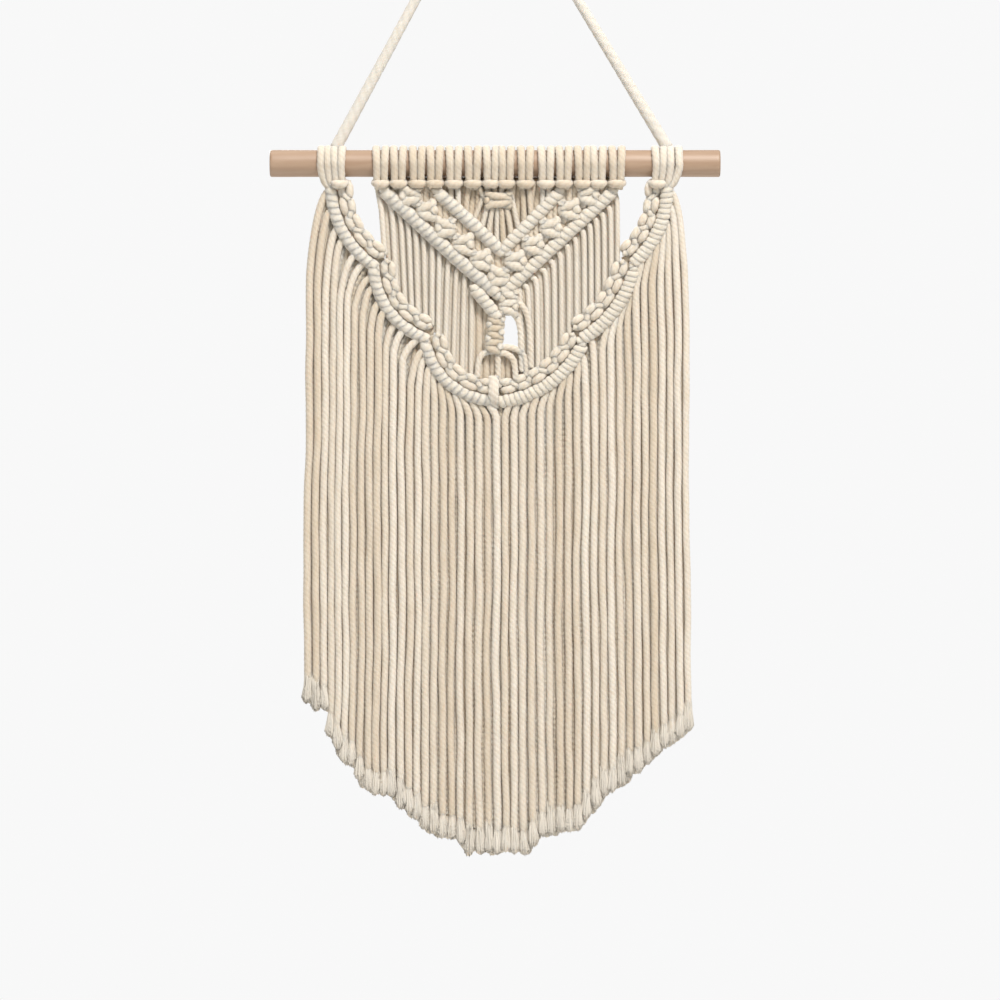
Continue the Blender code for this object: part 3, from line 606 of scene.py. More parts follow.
def linear(hex_colour):
    """An sRGB hex colour as linear red, green, blue and alpha."""
    channels = [int(hex_colour[i:i + 2], 16) / 255 for i in (1, 3, 5)]
    return [c / 12.92 if c <= 0.04045 else ((c + 0.055) / 1.055) ** 2.4 for c in channels] + [1.0]


def add(tree, kind, settings=None, **links):
    """A node of that kind with its settings, and its inputs linked or set by name."""
    node = tree.nodes.new(kind)
    for name, value in (settings or {}).items():
        setattr(node, name, value)
    for name, value in links.items():
        socket = node.inputs[int(name[1:]) if name[0] == "_" else name.replace("_", " ")]
        if isinstance(value, bpy.types.NodeSocket):
            tree.links.new(value, socket)
        else:
            socket.default_value = value
    return node


def new_material(name):
    """An empty node material with its Principled shader."""
    material = bpy.data.materials.new(name)
    material.use_nodes = True
    tree = material.node_tree
    return material, tree, tree.nodes["Principled BSDF"]


def cotton(name, light, warm, shade, twist=1 / STRAND_PITCH, glow=GLOW):
    """Unbleached cotton, spun and twisted: matt, soft at its edges, with fine fibres.

    Fibres turn round the cord by `twist` turns a mm. Each cord's tint and slow patches mix the
    light colour with the warm one. Dark fibres mix in the shade colour, and the creases between
    plies get painted shade in that colour.
    """
    material, tree, shader = new_material(name)
    uv = add(tree, "ShaderNodeUVMap", {"uv_map": "cord"})
    parts = add(tree, "ShaderNodeSeparateXYZ", Vector=uv.outputs["UV"])
    turns = add(tree, "ShaderNodeMath", {"operation": "MULTIPLY"}, _0=parts.outputs["X"], _1=twist)
    round_cord = add(tree, "ShaderNodeMath", {"operation": "ADD"},
                     _0=parts.outputs["Y"], _1=turns.outputs[0])
    fibre_place = add(tree, "ShaderNodeCombineXYZ", X=parts.outputs["X"], Y=round_cord.outputs[0])
    fibre_map = add(tree, "ShaderNodeMapping", Vector=fibre_place.outputs[0], Scale=FIBRES)
    fibres = add(tree, "ShaderNodeTexNoise", Vector=fibre_map.outputs[0],
                 Scale=1.0, Detail=3.0, Roughness=0.6)
    position = add(tree, "ShaderNodeTexCoord")
    patches = add(tree, "ShaderNodeTexNoise", Vector=position.outputs["Object"],
                  Scale=PATCHES_A_METRE, Detail=3.0)
    slubs = add(tree, "ShaderNodeTexNoise", Vector=position.outputs["Object"],
                Scale=SLUBS_A_METRE, Detail=2.0)
    tint = add(tree, "ShaderNodeAttribute", {"attribute_name": "tint"})
    groove = add(tree, "ShaderNodeAttribute", {"attribute_name": "groove"})
    tone = add(tree, "ShaderNodeMath", {"operation": "MULTIPLY_ADD"},
               _0=patches.outputs["Fac"], _1=PATCH_TONE, _2=-PATCH_TONE / 2)
    tone_sum = add(tree, "ShaderNodeMath", {"operation": "ADD", "use_clamp": True},
                   _0=tint.outputs["Fac"], _1=tone.outputs[0])
    base = add(tree, "ShaderNodeMix", {"data_type": "RGBA"},
               _0=tone_sum.outputs[0], _6=linear(light), _7=linear(warm))
    fibre_tone = add(tree, "ShaderNodeMapRange", Value=fibres.outputs["Fac"],
                     From_Min=0.62, From_Max=0.3, To_Min=0.0, To_Max=FIBRE_TONE)
    # painted shade in the ply creases, added to the dark fibres' own tone
    fibre_tone_and_crease_shade = add(tree, "ShaderNodeMath", {"operation": "MULTIPLY_ADD", "use_clamp": True},
                      _0=groove.outputs["Fac"], _1=CREASE_SHADE, _2=fibre_tone.outputs[0])
    colour = add(tree, "ShaderNodeMix", {"data_type": "RGBA"},
                 _0=fibre_tone_and_crease_shade.outputs[0], _6=base.outputs[2], _7=linear(shade))
    height = add(tree, "ShaderNodeMath", {"operation": "ADD"},
                 _0=fibres.outputs["Fac"], _1=slubs.outputs["Fac"])
    bump = add(tree, "ShaderNodeBump", Height=height.outputs[0], Strength=0.55, Distance=FIBRE_BUMP)
    tree.links.new(colour.outputs[2], shader.inputs["Base Color"])
    tree.links.new(bump.outputs["Normal"], shader.inputs["Normal"])
    shader.inputs["Roughness"].default_value = 0.93
    shader.inputs["IOR"].default_value = 1.53
    shader.inputs["Specular IOR Level"].default_value = 0.25
    shader.inputs["Subsurface Weight"].default_value = glow
    shader.inputs["Subsurface Radius"].default_value = (1.0, 0.85, 0.7)
    shader.inputs["Subsurface Scale"].default_value = 0.003
    shader.inputs["Sheen Weight"].default_value = 0.25
    shader.inputs["Sheen Roughness"].default_value = 0.55
    return material


def turned_pine(name):
    """Pale pine, turned and lightly sanded: long soft grain lines about 3 mm apart."""
    material, tree, shader = new_material(name)
    position = add(tree, "ShaderNodeTexCoord")
    along = add(tree, "ShaderNodeMapping", Vector=position.outputs["Object"], Scale=DRIFT_A_METRE)
    drift = add(tree, "ShaderNodeTexNoise", Vector=along.outputs[0],
                Scale=1.0, Detail=4.0, Roughness=0.55)
    rings = add(tree, "ShaderNodeMapping", Vector=position.outputs["Object"],
                Rotation=RING_TILT, Scale=RING_STRETCH)
    lines = add(tree, "ShaderNodeTexWave", {"bands_direction": "Y"}, Vector=rings.outputs[0],
                Scale=RINGS_A_METRE, Distortion=5.0, Detail=2.0, Detail_Scale=1.5)
    pores = add(tree, "ShaderNodeMapping", Vector=position.outputs["Object"], Scale=PORES_A_METRE)
    fine = add(tree, "ShaderNodeTexNoise", Vector=pores.outputs[0], Scale=1.0, Detail=2.0)
    soft = add(tree, "ShaderNodeMix", {"data_type": "RGBA"},
               _0=drift.outputs["Fac"], _6=linear(PALE_WOOD), _7=linear(WARM_WOOD))
    line_tone = add(tree, "ShaderNodeMath", {"operation": "MULTIPLY"},
                    _0=lines.outputs["Fac"], _1=RING_TONE)
    grain = add(tree, "ShaderNodeMix", {"data_type": "RGBA"},
                _0=line_tone.outputs[0], _6=soft.outputs[2], _7=linear(LATE_WOOD))
    bump = add(tree, "ShaderNodeBump", Height=fine.outputs["Fac"], Strength=0.25, Distance=0.0001)
    tree.links.new(grain.outputs[2], shader.inputs["Base Color"])
    tree.links.new(bump.outputs["Normal"], shader.inputs["Normal"])
    shader.inputs["Roughness"].default_value = 0.5
    shader.inputs["IOR"].default_value = 1.5
    shader.inputs["Specular IOR Level"].default_value = 0.9
    return material


def painted_board(name):
    """The studio's pale floor: matt white paint."""
    material, tree, shader = new_material(name)
    shader.inputs["Base Color"].default_value = linear("#EEECE8")
    shader.inputs["Roughness"].default_value = 0.9
    return material


# The knotted cord, the paler taut one, and the ends: combed straight, and too thin to glow
COTTON = cotton("natural_twisted_cotton", "#E8E1D6", "#D2C4B0", "#A89674")
TAUT_COTTON = cotton("taut_twisted_cotton", "#E4E1DA", "#D9D4CA", "#A9A091")
COMBED_COTTON = cotton("combed_cotton_ends", "#EAE4D9", "#E0D9CC", "#C4B9A5", twist=0.0, glow=0.0)
PINE = turned_pine("turned_pine")


# ---------------------------------------------------------------- knots

def on_rod(degrees, x):
    """Points of a wrap round the rod: 0 degrees is its front, 90 its top, 180 its back."""
    angle = np.radians(degrees)
    return place(x, -WRAP_RADIUS * np.sin(angle), -WRAP_RADIUS * np.cos(angle))


def away_from_rod(path):
    """Unit directions away from a line just under the rod's axis, for cords laid round it."""
    out = path - place(path[:, 0], WRAP_CENTRE_DROP, 0.0)
    return out / np.linalg.norm(out, axis=1, keepdims=True)


def head_cord(cords, corners, tint):
    """A cord through a head's points: flattened where it lies on the rod, round below it."""
    path = smooth(corners, FINE_STEP)
    flat = np.clip((path[:, 2] + FLAT_FROM) / FLAT_RUN, 0, 1)
    swell = LOOP_SWELL * np.clip((-path[:, 1] - SWELL_FROM) / SWELL_RUN, 0, 1) * (1 - flat)
    cords.twisted_cord(path, HEAD_HALF_WIDTH + (WRAP_HALF_WIDTH - HEAD_HALF_WIDTH) * flat + swell,
                       HEAD_HALF_DEPTH + (WRAP_HALF_DEPTH - HEAD_HALF_DEPTH) * flat + swell,
                       front=away_from_rod(path), crease=0.06, tint=tint)


def lark_head(cords, x, loop_x, spread, tint):
    """One lark's head: up the front of the rod, down its back, across the front as a loop."""
    loop_drop, loop_y = LOOP_MIDDLE
    foot_out, foot_drop, foot_y = WRAP_FOOT
    corners = [place(loop_x, loop_drop + draw.uniform(-LOOP_UNEVEN, LOOP_UNEVEN), loop_y)[None]]
    for side in (1, -1):
        wrap_x = x + side * spread + draw.uniform(-WRAP_UNEVEN, WRAP_UNEVEN)
        under = loop_x + side * spread * HEAD_GATHER
        half = np.vstack([
            place(loop_x + side * LOOP_SIDE[:, 0], LOOP_SIDE[:, 1], LOOP_SIDE[:, 2]),
            place([wrap_x + side * foot_out], foot_drop, foot_y),
            on_rod(WRAP_TURN, wrap_x + side * WRAP_SPLAY * np.sin(np.radians(WRAP_TURN))),
            place([(wrap_x + under) / 2, under, under * 0.8 + loop_x * 0.2], *HEAD_END.T),
        ])
        corners = corners + [half] if side > 0 else [half[::-1]] + corners
    head_cord(cords, np.vstack(corners), tint)


def plain_wrap(cords, x, end, tint):
    """One wrap round the rod whose front end runs down to a point."""
    head_cord(cords, np.vstack([
        place([x], *PLAIN_START), on_rod(PLAIN_TURN, x),
        place([x], *PLAIN_FOOT) * 0.6 + end * 0.4, end[None]]), tint)


def hitches(cords, arm, hitch, past=0.0):
    """A ridge of hitches: a cord wound round the arm's own cord.

    The winding is line + r (cos(a) across + sin(a) front) with a growing by one turn for each
    pitch; pairs of turns lie closer, and each turn leans along the arm.
    """
    line, across = arm_line(arm, COIL_LINE_STEP, past)
    step = np.linalg.norm(np.diff(line, axis=0), axis=1).mean()
    run = np.arange(len(line)) * step
    turn = run / hitch.pitch
    turn = (turn + HITCH_PAIRING * np.sin(math.pi * turn)
            + HITCH_PAIRING * wander(run, *TURN_WANDER))
    angle = turn * math.tau
    reach = (hitch.radius - HITCH_DEPTH + wander(run, *REACH_WANDER)) * rounded_ends(run)
    along = np.gradient(line, axis=0)
    along /= np.linalg.norm(along, axis=1, keepdims=True)
    radial = across * np.cos(angle)[:, None] + FRONT * np.sin(angle)[:, None]
    lean = along * (HITCH_SLANT * hitch.pitch * np.sin(angle))[:, None]
    coil = even(line + radial * reach[:, None] + lean, FINE_STEP)
    cords.twisted_cord(coil, hitch.pitch * hitch.fill, HITCH_DEPTH,
                       front=nearest_direction(coil, line), pitch=HITCH_CORD_PITCH, crease=0.05,
                       tint=HITCH_TINT)
    core, _ = arm_line(arm, past=past)
    share = np.linspace(0, run[-1], len(core))
    cords.twisted_cord(core, hitch.radius - HITCH_DEPTH, crease=0.0, tint=HITCH_TINT,
                       taper=rounded_ends(share))


def rounded_ends(run):
    """Factors along a line that draw in its first and last stretch, by a square root."""
    to_end = np.minimum(run, run[-1] - run)
    return END_SHARE + (1 - END_SHARE) * np.sqrt(np.clip(to_end / END_REACH, 0, 1))


def nearest_direction(points, line):
    """Unit directions from the nearest point of a line to each point."""
    at_once = 400           # keeps the table of all the gaps small
    out = np.empty_like(points)
    for first in range(0, len(points), at_once):
        part = points[first:first + at_once]
        gap = part[:, None] - line[None]
        best = (gap ** 2).sum(axis=2).argmin(axis=1)
        out[first:first + at_once] = gap[np.arange(len(part)), best]
    return out / (np.linalg.norm(out, axis=1, keepdims=True) + 1e-9)


def at_places(line, at):
    """The points of a line at fractional places along its list of points."""
    index = np.arange(len(line))
    return np.stack([np.interp(at, index, line[:, axis]) for axis in range(3)], axis=1)


def square_knots(cords, arm, knot, tint=None):
    """A row of half knots along an arm: one cord crosses the front, the other the back.

    With u across, v along and w to the front, and k counting half knots, the front cord runs at
    u = -cos(pi k), drawn out towards the edges by a power of 0.75, and w = rise |sin(pi k)| - sink,
    and v moves on mostly at the edges. The back cord is its mirror, at
    w = side_rise - (rise + side_rise) |sin(pi k)|^1.6, so it comes forward at the edges, where it
    holds the front cord down.
    """
    line, across = arm_line(arm, KNOT_LINE_STEP)
    k = np.linspace(0, knot.halves, knot.halves * KNOT_POINTS + 1)
    inner = knot.half_width - knot.cord_half
    swing = np.cos(math.pi * k)
    lift = np.abs(np.sin(math.pi * k))
    front_w = knot.rise * lift - FRONT_SINK
    back_w = knot.side_rise - (knot.rise + knot.side_rise) * lift ** 1.6
    run = k * HALF_KNOT_RUN
    for sign, w, hurry in ((-1, front_w, FRONT_HURRY), (1, back_w, BACK_HURRY)):
        u = sign * inner * np.sign(swing) * np.abs(swing) ** 0.75
        u = u + wander(run, knot.uneven, ACROSS_WAVE)
        v = (k + hurry * np.sin(math.tau * k) / math.tau) / knot.halves
        v = v + wander(run, knot.uneven * ALONG_UNEVEN / knot.halves, ALONG_WAVE)
        at = np.clip(v, 0, 1) * (len(line) - 1)
        spot = at_places(line, at)
        out = at_places(across, at)
        path = smooth((spot + out * u[:, None] + FRONT * w[:, None])[::3], FINE_STEP)
        cords.twisted_cord(path, knot.cord_half * 1.04, knot.cord_half * 0.88, crease=0.07,
                           front=nearest_direction(path, line - FRONT * 0.6), tint=tint)
    for side in (np.arange(knot.core) - (knot.core - 1) / 2):
        shift = across * side * knot.cord_half * CORE_SPACING
        cords.twisted_cord(even(line + shift, RING_STEP), knot.cord_half, tint=tint)


def arc_beside(swag, offset, y, first=0.0):
    """An arc `offset` mm inwards of a swag's, from share `first` of it to its end."""
    ends, outward = arc(swag, np.array([first, 1.0]))
    start, end = ends - outward * offset
    return Arm(start[0], start[1], end[0], end[1], swag.bow, y)


def braid_arm(swag):
    """The arc of a swag's braid: its bar's arc moved inwards."""
    return arc_beside(swag, BRAID_OFFSET, swag.y + BRAID_BACK, BRAID_START)


def lobed_braid(cords, arm, rise, dive):
    """A braid of knots that each show two lobes side by side, along the braid.

    With k counting knots and dip = |cos(pi k)|^5, a lobe's cord runs at u = offset - drawn dip
    across and w = rise |sin(pi k)|^0.7 - dive dip to the front, so it goes under between two
    knots. The tying cord swings from edge to edge as u = width sin(pi k), and crosses in front
    in each dip, at w = relief (1 - 2 sin(pi k)^2).
    """
    line, across = arm_line(arm, KNOT_LINE_STEP, BRAID_PAST)
    length = np.linalg.norm(np.diff(line, axis=0), axis=1).sum()
    knots = max(2, int(round(length / BRAID_KNOT)))
    k = np.linspace(0, knots, knots * BRAID_POINTS + 1)
    at = k / knots * (len(line) - 1)
    spot = at_places(line, at)
    out = at_places(across, at)
    for side in (-1, 1):
        phase = k + LOBE_STEP * side + wander(k, *STEP_WANDER)
        dip = np.abs(np.cos(math.pi * phase)) ** 5
        u = side * (BRAID_LOBE - LOBE_DRAWN * dip) + wander(k, *ACROSS_WANDER)
        w = rise * np.abs(np.sin(math.pi * phase)) ** 0.7 - dive * dip + wander(k, *OUT_WANDER)
        path = spot + out * u[:, None] + FRONT * w[:, None]
        cords.twisted_cord(path, LOBE_HALF_WIDTH, LOBE_HALF_DEPTH, crease=0.06, tint=BRAID_TINT,
                           taper=(1 - LOBE_NECK * dip) * rounded_ends(k / knots * length))
    swing = np.sin(math.pi * k)
    u = (BRAID_HALF - TIE_INSET) * swing
    w = TIE_RELIEF * (1 - swing ** 2) - TIE_RELIEF * swing ** 2 + TIE_FRONT
    path = smooth((spot + out * u[:, None] + FRONT * w[:, None])[::2], FINE_STEP)
    cords.twisted_cord(path, TIE_HALF, crease=0.05, tint=BRAID_TINT)
    core = even(line - FRONT * BRAID_CORE_BACK, RING_STEP)
    cords.twisted_cord(core, *BRAID_CORE, crease=0.03, tint=BRAID_TINT)


# ---------------------------------------------------------------- pieces

def make_rod():
    """The rod: circles along x whose radius eases off at the rims and wavers a little."""
    x = np.concatenate([[ROD_LEFT, ROD_LEFT + ROD_RIM * 0.3, ROD_LEFT + ROD_RIM],
                        np.linspace(ROD_LEFT + 2, ROD_RIGHT - 2, ROD_RINGS),
                        [ROD_RIGHT - ROD_RIM, ROD_RIGHT - ROD_RIM * 0.3, ROD_RIGHT]])
    radius = ROD_RADIUS - ROD_WAVER + wander(x, ROD_WAVER, ROD_WAVE)
    radius[[0, -1]] -= ROD_RIM
    radius[[1, -2]] -= ROD_RIM * 0.35
    angle = np.arange(ROD_SIDES) * math.tau / ROD_SIDES
    grid = place(x[:, None], -radius[:, None] * np.sin(angle), radius[:, None] * np.cos(angle))
    k = np.arange(ROD_SIDES)
    after = (k + 1) % ROD_SIDES
    row = np.arange(len(x) - 1)[:, None] * ROD_SIDES
    faces = np.stack([row + k, row + after, row + ROD_SIDES + after, row + ROD_SIDES + k], axis=-1)
    mesh = bpy.data.meshes.new("pine_rod")
    last = (len(x) - 1) * ROD_SIDES
    mesh.from_pydata(to_row_frame(grid.reshape(-1, 3)).tolist(), [],
                     faces.reshape(-1, 4).tolist() + [k[::-1].tolist(), (last + k).tolist()])
    mesh.polygons.foreach_set("use_smooth", [True] * (len(mesh.polygons) - 2) + [False] * 2)
    mesh.update()
    show(mesh, PINE, ["rod"])


def hanging_route():
    """The taut cord: a straight leg up from each side group, round a hook's arc between them."""
    low = -HANGING_CORD_START
    left = np.array([SIDE_GROUPS[0].cord_x, 0.0, low])
    right = np.array([SIDE_GROUPS[1].cord_x, 0.0, low])
    meet = np.array([0.0, 0.0, -ROD_Z / MM + HANGING_CORD_MEET])
    up, down = left - meet, right - meet
    up /= np.linalg.norm(up)
    down /= np.linalg.norm(down)
    half = math.acos(float(up @ down)) / 2
    middle = (up + down) / np.linalg.norm(up + down)
    centre = meet + middle * HOOK_BEND / math.sin(half)
    angle = np.linspace(-(math.pi / 2 - half), math.pi / 2 - half, BEND_POINTS)[:, None]
    sideways = np.cross(middle, [0.0, 1.0, 0.0])
    sideways *= np.sign(sideways[0])
    bend = centre - middle * HOOK_BEND * np.cos(angle) + sideways * HOOK_BEND * np.sin(angle)
    share = np.linspace(0, 1, LEG_POINTS)[:-1, None]
    rising = left + (bend[0] - left) * share
    falling = (right + (bend[-1] - right) * share)[::-1]
    return np.vstack([rising, bend, falling])


def make_hanging_cord():
    """The cord that the hanging hangs by, a little flattened towards its wraps."""
    route = smooth(hanging_route(), CORD_STEP)
    cord = Cords()
    run = np.concatenate([[0], np.cumsum(np.linalg.norm(np.diff(route, axis=0), axis=1))])
    from_rod = np.minimum(run, run[-1] - run)
    spread = CORD_SPREAD * np.clip(1 - from_rod / CORD_SPREAD_RUN, 0, 1)
    cord.twisted_cord(route, CORD_HALF + spread, CORD_HALF, pitch=CORD_PITCH, crease=0.05, tint=0.4)
    piece = show(cord.mesh("hanging_cord_twisted"), TAUT_COTTON, ["hanging_cord"])


def make_heading():
    """The lark's heads along the rod with the cord they close on, and the side groups' wraps."""
    cords = Cords()
    for x in HEAD_X:
        lark_head(cords, x, x, WRAP_SPREAD, draw.uniform(*HEAD_TINT))
    under_rod = place(np.linspace(HEAD_X[0] - 1, HEAD_X[-1] + 1, UNDER_ROD_POINTS), *UNDER_ROD)
    # tint 1.0 darkens this cord to the warm end: painted shade in the holes between the heads
    cords.twisted_cord(under_rod, UNDER_ROD_HALF, tint=1.0)
    end_drop, end_y = GROUP_END
    for group in SIDE_GROUPS:
        lark_head(cords, sum(group.inner) / 2, group.loop_x, GROUP_SPREAD, 0.3)
        swag = next(row for row in SWAGS if row.side == group.side)
        for x in group.outer:
            end = place(swag.x0 + (x - group.outer[0]) * GROUP_GATHER, swag.drop0 + end_drop, end_y)
            plain_wrap(cords, x, end, draw.uniform(*PLAIN_TINT))
    show(cords.mesh("larks_heads"), COTTON, ["knotwork"])


def make_ridges():
    """The four ridges of the two arms and the short one at the chevron's tip."""
    cords = Cords()
    for arm, hitch in RIDGES:
        hitches(cords, arm, hitch)
    show(cords.mesh("chevron_ridges"), COTTON, ["knotwork"])


def make_band():
    """The band: square knots one below the other down each arm, over the strands they tie."""
    cords = Cords()
    for x, drop in BAND_KNOTS:
        lean = draw.uniform(-BAND_LEAN, BAND_LEAN)
        upright = Arm(x - lean, drop - BAND_KNOT_HALF, x + lean, drop + BAND_KNOT_HALF, 0.0, BAND_Y)
        square_knots(cords, upright, BAND_KNOT, tint=0.3)
    for x in np.arange(*BAND_STRANDS):
        on_left = x < OUTER_LEFT.x1 + 0.6
        outer, inner = (OUTER_LEFT, INNER_LEFT) if on_left else (OUTER_RIGHT, INNER_RIGHT)
        under_inner = min(inner.x0, inner.x1) < x < max(inner.x0, inner.x1)
        top = drop_at([inner], x) if under_inner else HEADS_FOOT
        low = drop_at([outer], x)
        if low - top > BAND_STRAND_LEAST:
            path = place(x, np.array([top, (top + low) / 2, low]), BAND_Y + BAND_STRAND_BACK)
            cords.twisted_cord(smooth(path), BAND_STRAND_HALF, tint=0.6)
    show(cords.mesh("square_knot_band"), COTTON, ["knotwork"])


def make_fan():
    """Short strands fanned out under the middle heads, gathered by one square knot."""
    cords = Cords()
    for row in FAN:
        middle = (row.x0 + row.x1) / 2 + draw.uniform(-FAN_UNEVEN, FAN_UNEVEN)
        drop = np.array([row.drop0, (row.drop0 + row.drop1) / 2, row.drop1 + 1])
        path = smooth(place(np.array([row.x0, middle, row.x1]), drop, row.y))
        cords.twisted_cord(path, FAN_HALF)
    for x0, x1 in zip(np.linspace(*FAN_BACKING_TOP, FAN_BACKING),
                      np.linspace(*FAN_BACKING_FOOT, FAN_BACKING)):
        low = drop_at([INNER_LEFT if x1 < ARMS_MEET else INNER_RIGHT], x1) + 1
        drop = np.array([FAN_BACKING_START, (FAN_BACKING_START + low) / 2, low])
        path = smooth(place(np.array([x0, (x0 + x1) / 2, x1]), drop, FAN_BACKING_Y))
        # tint 0.9, near the warm end, is painted shade in the gaps between the fan's strands
        cords.twisted_cord(path, FAN_BACKING_HALF, tint=0.9)
    square_knots(cords, FAN_KNOT, GATHER_KNOT)
    show(cords.mesh("fan_strands"), COTTON, ["knotwork"])


def make_loose_strands():
    """Strands that hang from the outer ridges to the swags' braids, in two layers.

    The back layer has one strand behind each gap of the front one.
    """
    cords = Cords()
    for side, ridge, strands, lean, fall in (
            ("left", OUTER_LEFT, LOOSE_LEFT, LEFT_LEAN, LEFT_FALL),
            ("right", OUTER_RIGHT, LOOSE_RIGHT, RIGHT_LEAN, RIGHT_FALL)):
        braids = [braid_arm(swag) for swag in SWAGS if swag.side == side]
        paths = []
        for strand in strands:
            top = drop_at([ridge], strand.root)
            low = drop_at(braids, strand.x) + 1.0
            x = strand.root + (strand.x - strand.root) * np.array(lean)
            drop = top + np.minimum(np.array(fall), (low - top) * LOOSE_SHARE)
            drop[-1] = low
            paths.append((x, drop))
            cords.twisted_cord(smooth(place(x, drop, LOOSE_FRONT_Y)),
                               LOOSE_HALF * draw.uniform(*LOOSE_WIDTH), crease=0.07,
                               tint=draw.uniform(*LOOSE_TINT))
        for (x0, drop0), (x1, drop1) in zip(paths, paths[1:]):
            path = smooth(place((x0 + x1) / 2, (drop0 + drop1) / 2, LOOSE_BACK_Y))
            cords.twisted_cord(path, LOOSE_HALF * LOOSE_BACK_WIDTH, crease=0.03, tint=0.2)
    show(cords.mesh("loose_strands"), COTTON, ["knotwork"])


def make_tail():
    """The sinnet under the chevron's tip, the strands that leave it, and those behind it."""
    cords = Cords()
    square_knots(cords, SINNET_TOP, SINNET_TOP_KNOTS)
    square_knots(cords, SINNET, SINNET_KNOTS)
    for row in TAIL:
        x = row.x0 + (row.x1 - row.x0) * TAIL_SHIFT
        drop = row.drop0 + (row.drop1 - row.drop0) * TAIL_FALL
        cords.twisted_cord(smooth(place(x, drop, row.y)), TAIL_HALF,
                           tint=draw.uniform(*TAIL_TINT))
    for x, top in TAIL_BACKING:
        path = smooth(place(x, np.linspace(top, TAIL_BACKING_FOOT, 3), TAIL_BACKING_Y))
        # tint 0.7, warmer than the tail's own strands, is painted shade in the hollows beside the
        # sinnet
        cords.twisted_cord(path, TAIL_BACKING_HALF, crease=0.05, tint=0.7)
    row = TAIL_FILLER
    cords.twisted_cord(smooth(place(row.x0, np.linspace(row.drop0, row.drop1, 3), row.y)),
                       STRAND_HALF, tint=0.4)
    row = TAIL_JOINT
    cords.twisted_cord(smooth(place(row.x0, np.linspace(row.drop0, row.drop1, 4),
                                    row.y + TAIL_JOINT_BEND)), *TAIL_JOINT_HALF, tint=0.1)
    show(cords.mesh("sinnet_tail"), COTTON, ["knotwork"])


def make_braids():
    """The swags' braids, and the seam cord behind the gap between each and its bar."""
    cords = Cords()
    for swag in SWAGS:
        lobed_braid(cords, braid_arm(swag), *BRAID_RELIEF[swag.side])
        seam, _ = arm_line(arc_beside(swag, SEAM_OFFSET, SEAM_Y), past=SEAM_PAST)
        cords.twisted_cord(seam, *SEAM_HALF, crease=0.05, tint=0.7)
    show(cords.mesh("swag_braids"), COTTON, ["knotwork"])


def hem_drop(x):
    """How far down the fringe ends at an x."""
    return float(np.interp(x, [row.x for row in HEM], [row.drop for row in HEM]))


def fringe_sway(x, run):
    """How far the fringe has swayed at an x, a run down it: sines of run and x together."""
    total = sum(part * np.sin(run / down * math.tau + x / across)
                for down, across, part in FRINGE_WAVES)
    return FRINGE_SWAY * total / FRINGE_WAVES_TOTAL


def fringe_path(swag, share, hang_x, y, sway):
    """A strand's path: out of its bar, over into the fall, then down with a slow sway.

    The turn over the bar is the curve (1-t)^3 a + 3(1-t)^2 t b + 3(1-t) t^2 c + t^3 d.
    """
    root, outward = arc(swag, np.array([share]))
    root, outward = root[0], outward[0]
    place_in_row = (hang_x - swag.hang[0]) / (swag.hang[-1] - swag.hang[0])
    fall = swag.fall0 + (swag.fall1 - swag.fall0) * np.clip(place_in_row, 0, 1)
    bottom_x = hang_x + FRINGE_SPREAD * (hang_x - FRINGE_MIDDLE) / FRINGE_HALF
    end = hem_drop(bottom_x) - TUFT_LENGTH + draw.uniform(*HEM_UNEVEN)
    across_left, fallen = FRINGE_BEND
    a, b, d = root, root + outward * FRINGE_LEAVE, [hang_x, root[1] + fall]
    c = [hang_x + (root[0] - hang_x) * across_left, root[1] + fall * fallen]
    a, b, c, d = np.array([a, b, c, d])
    t = np.linspace(0, 1, TURN_POINTS)[:, None]
    turn = ((1 - t) ** 3 * a + 3 * (1 - t) ** 2 * t * b + 3 * (1 - t) * t ** 2 * c + t ** 3 * d)
    straight = np.linspace(root[1] + fall, end, FALL_POINTS)[1:]
    straight_x = np.interp(straight, [root[1] + fall, end], [hang_x, bottom_x])
    x = np.concatenate([turn[:, 0], straight_x])
    drop = np.concatenate([turn[:, 1], straight])
    path = smooth(place(x, drop, y), STRAND_STEP)
    run = -path[:, 2] - root[1]
    ease = np.clip(run / SWAY_EASE, 0, 1)
    path[:, 0] += (fringe_sway(hang_x, -path[:, 2]) + wander(run, sway, SWAY_WAVE)) * ease
    path[:, 1] += wander(run, DEPTH_SWAY, DEPTH_WAVE) * ease
    return path


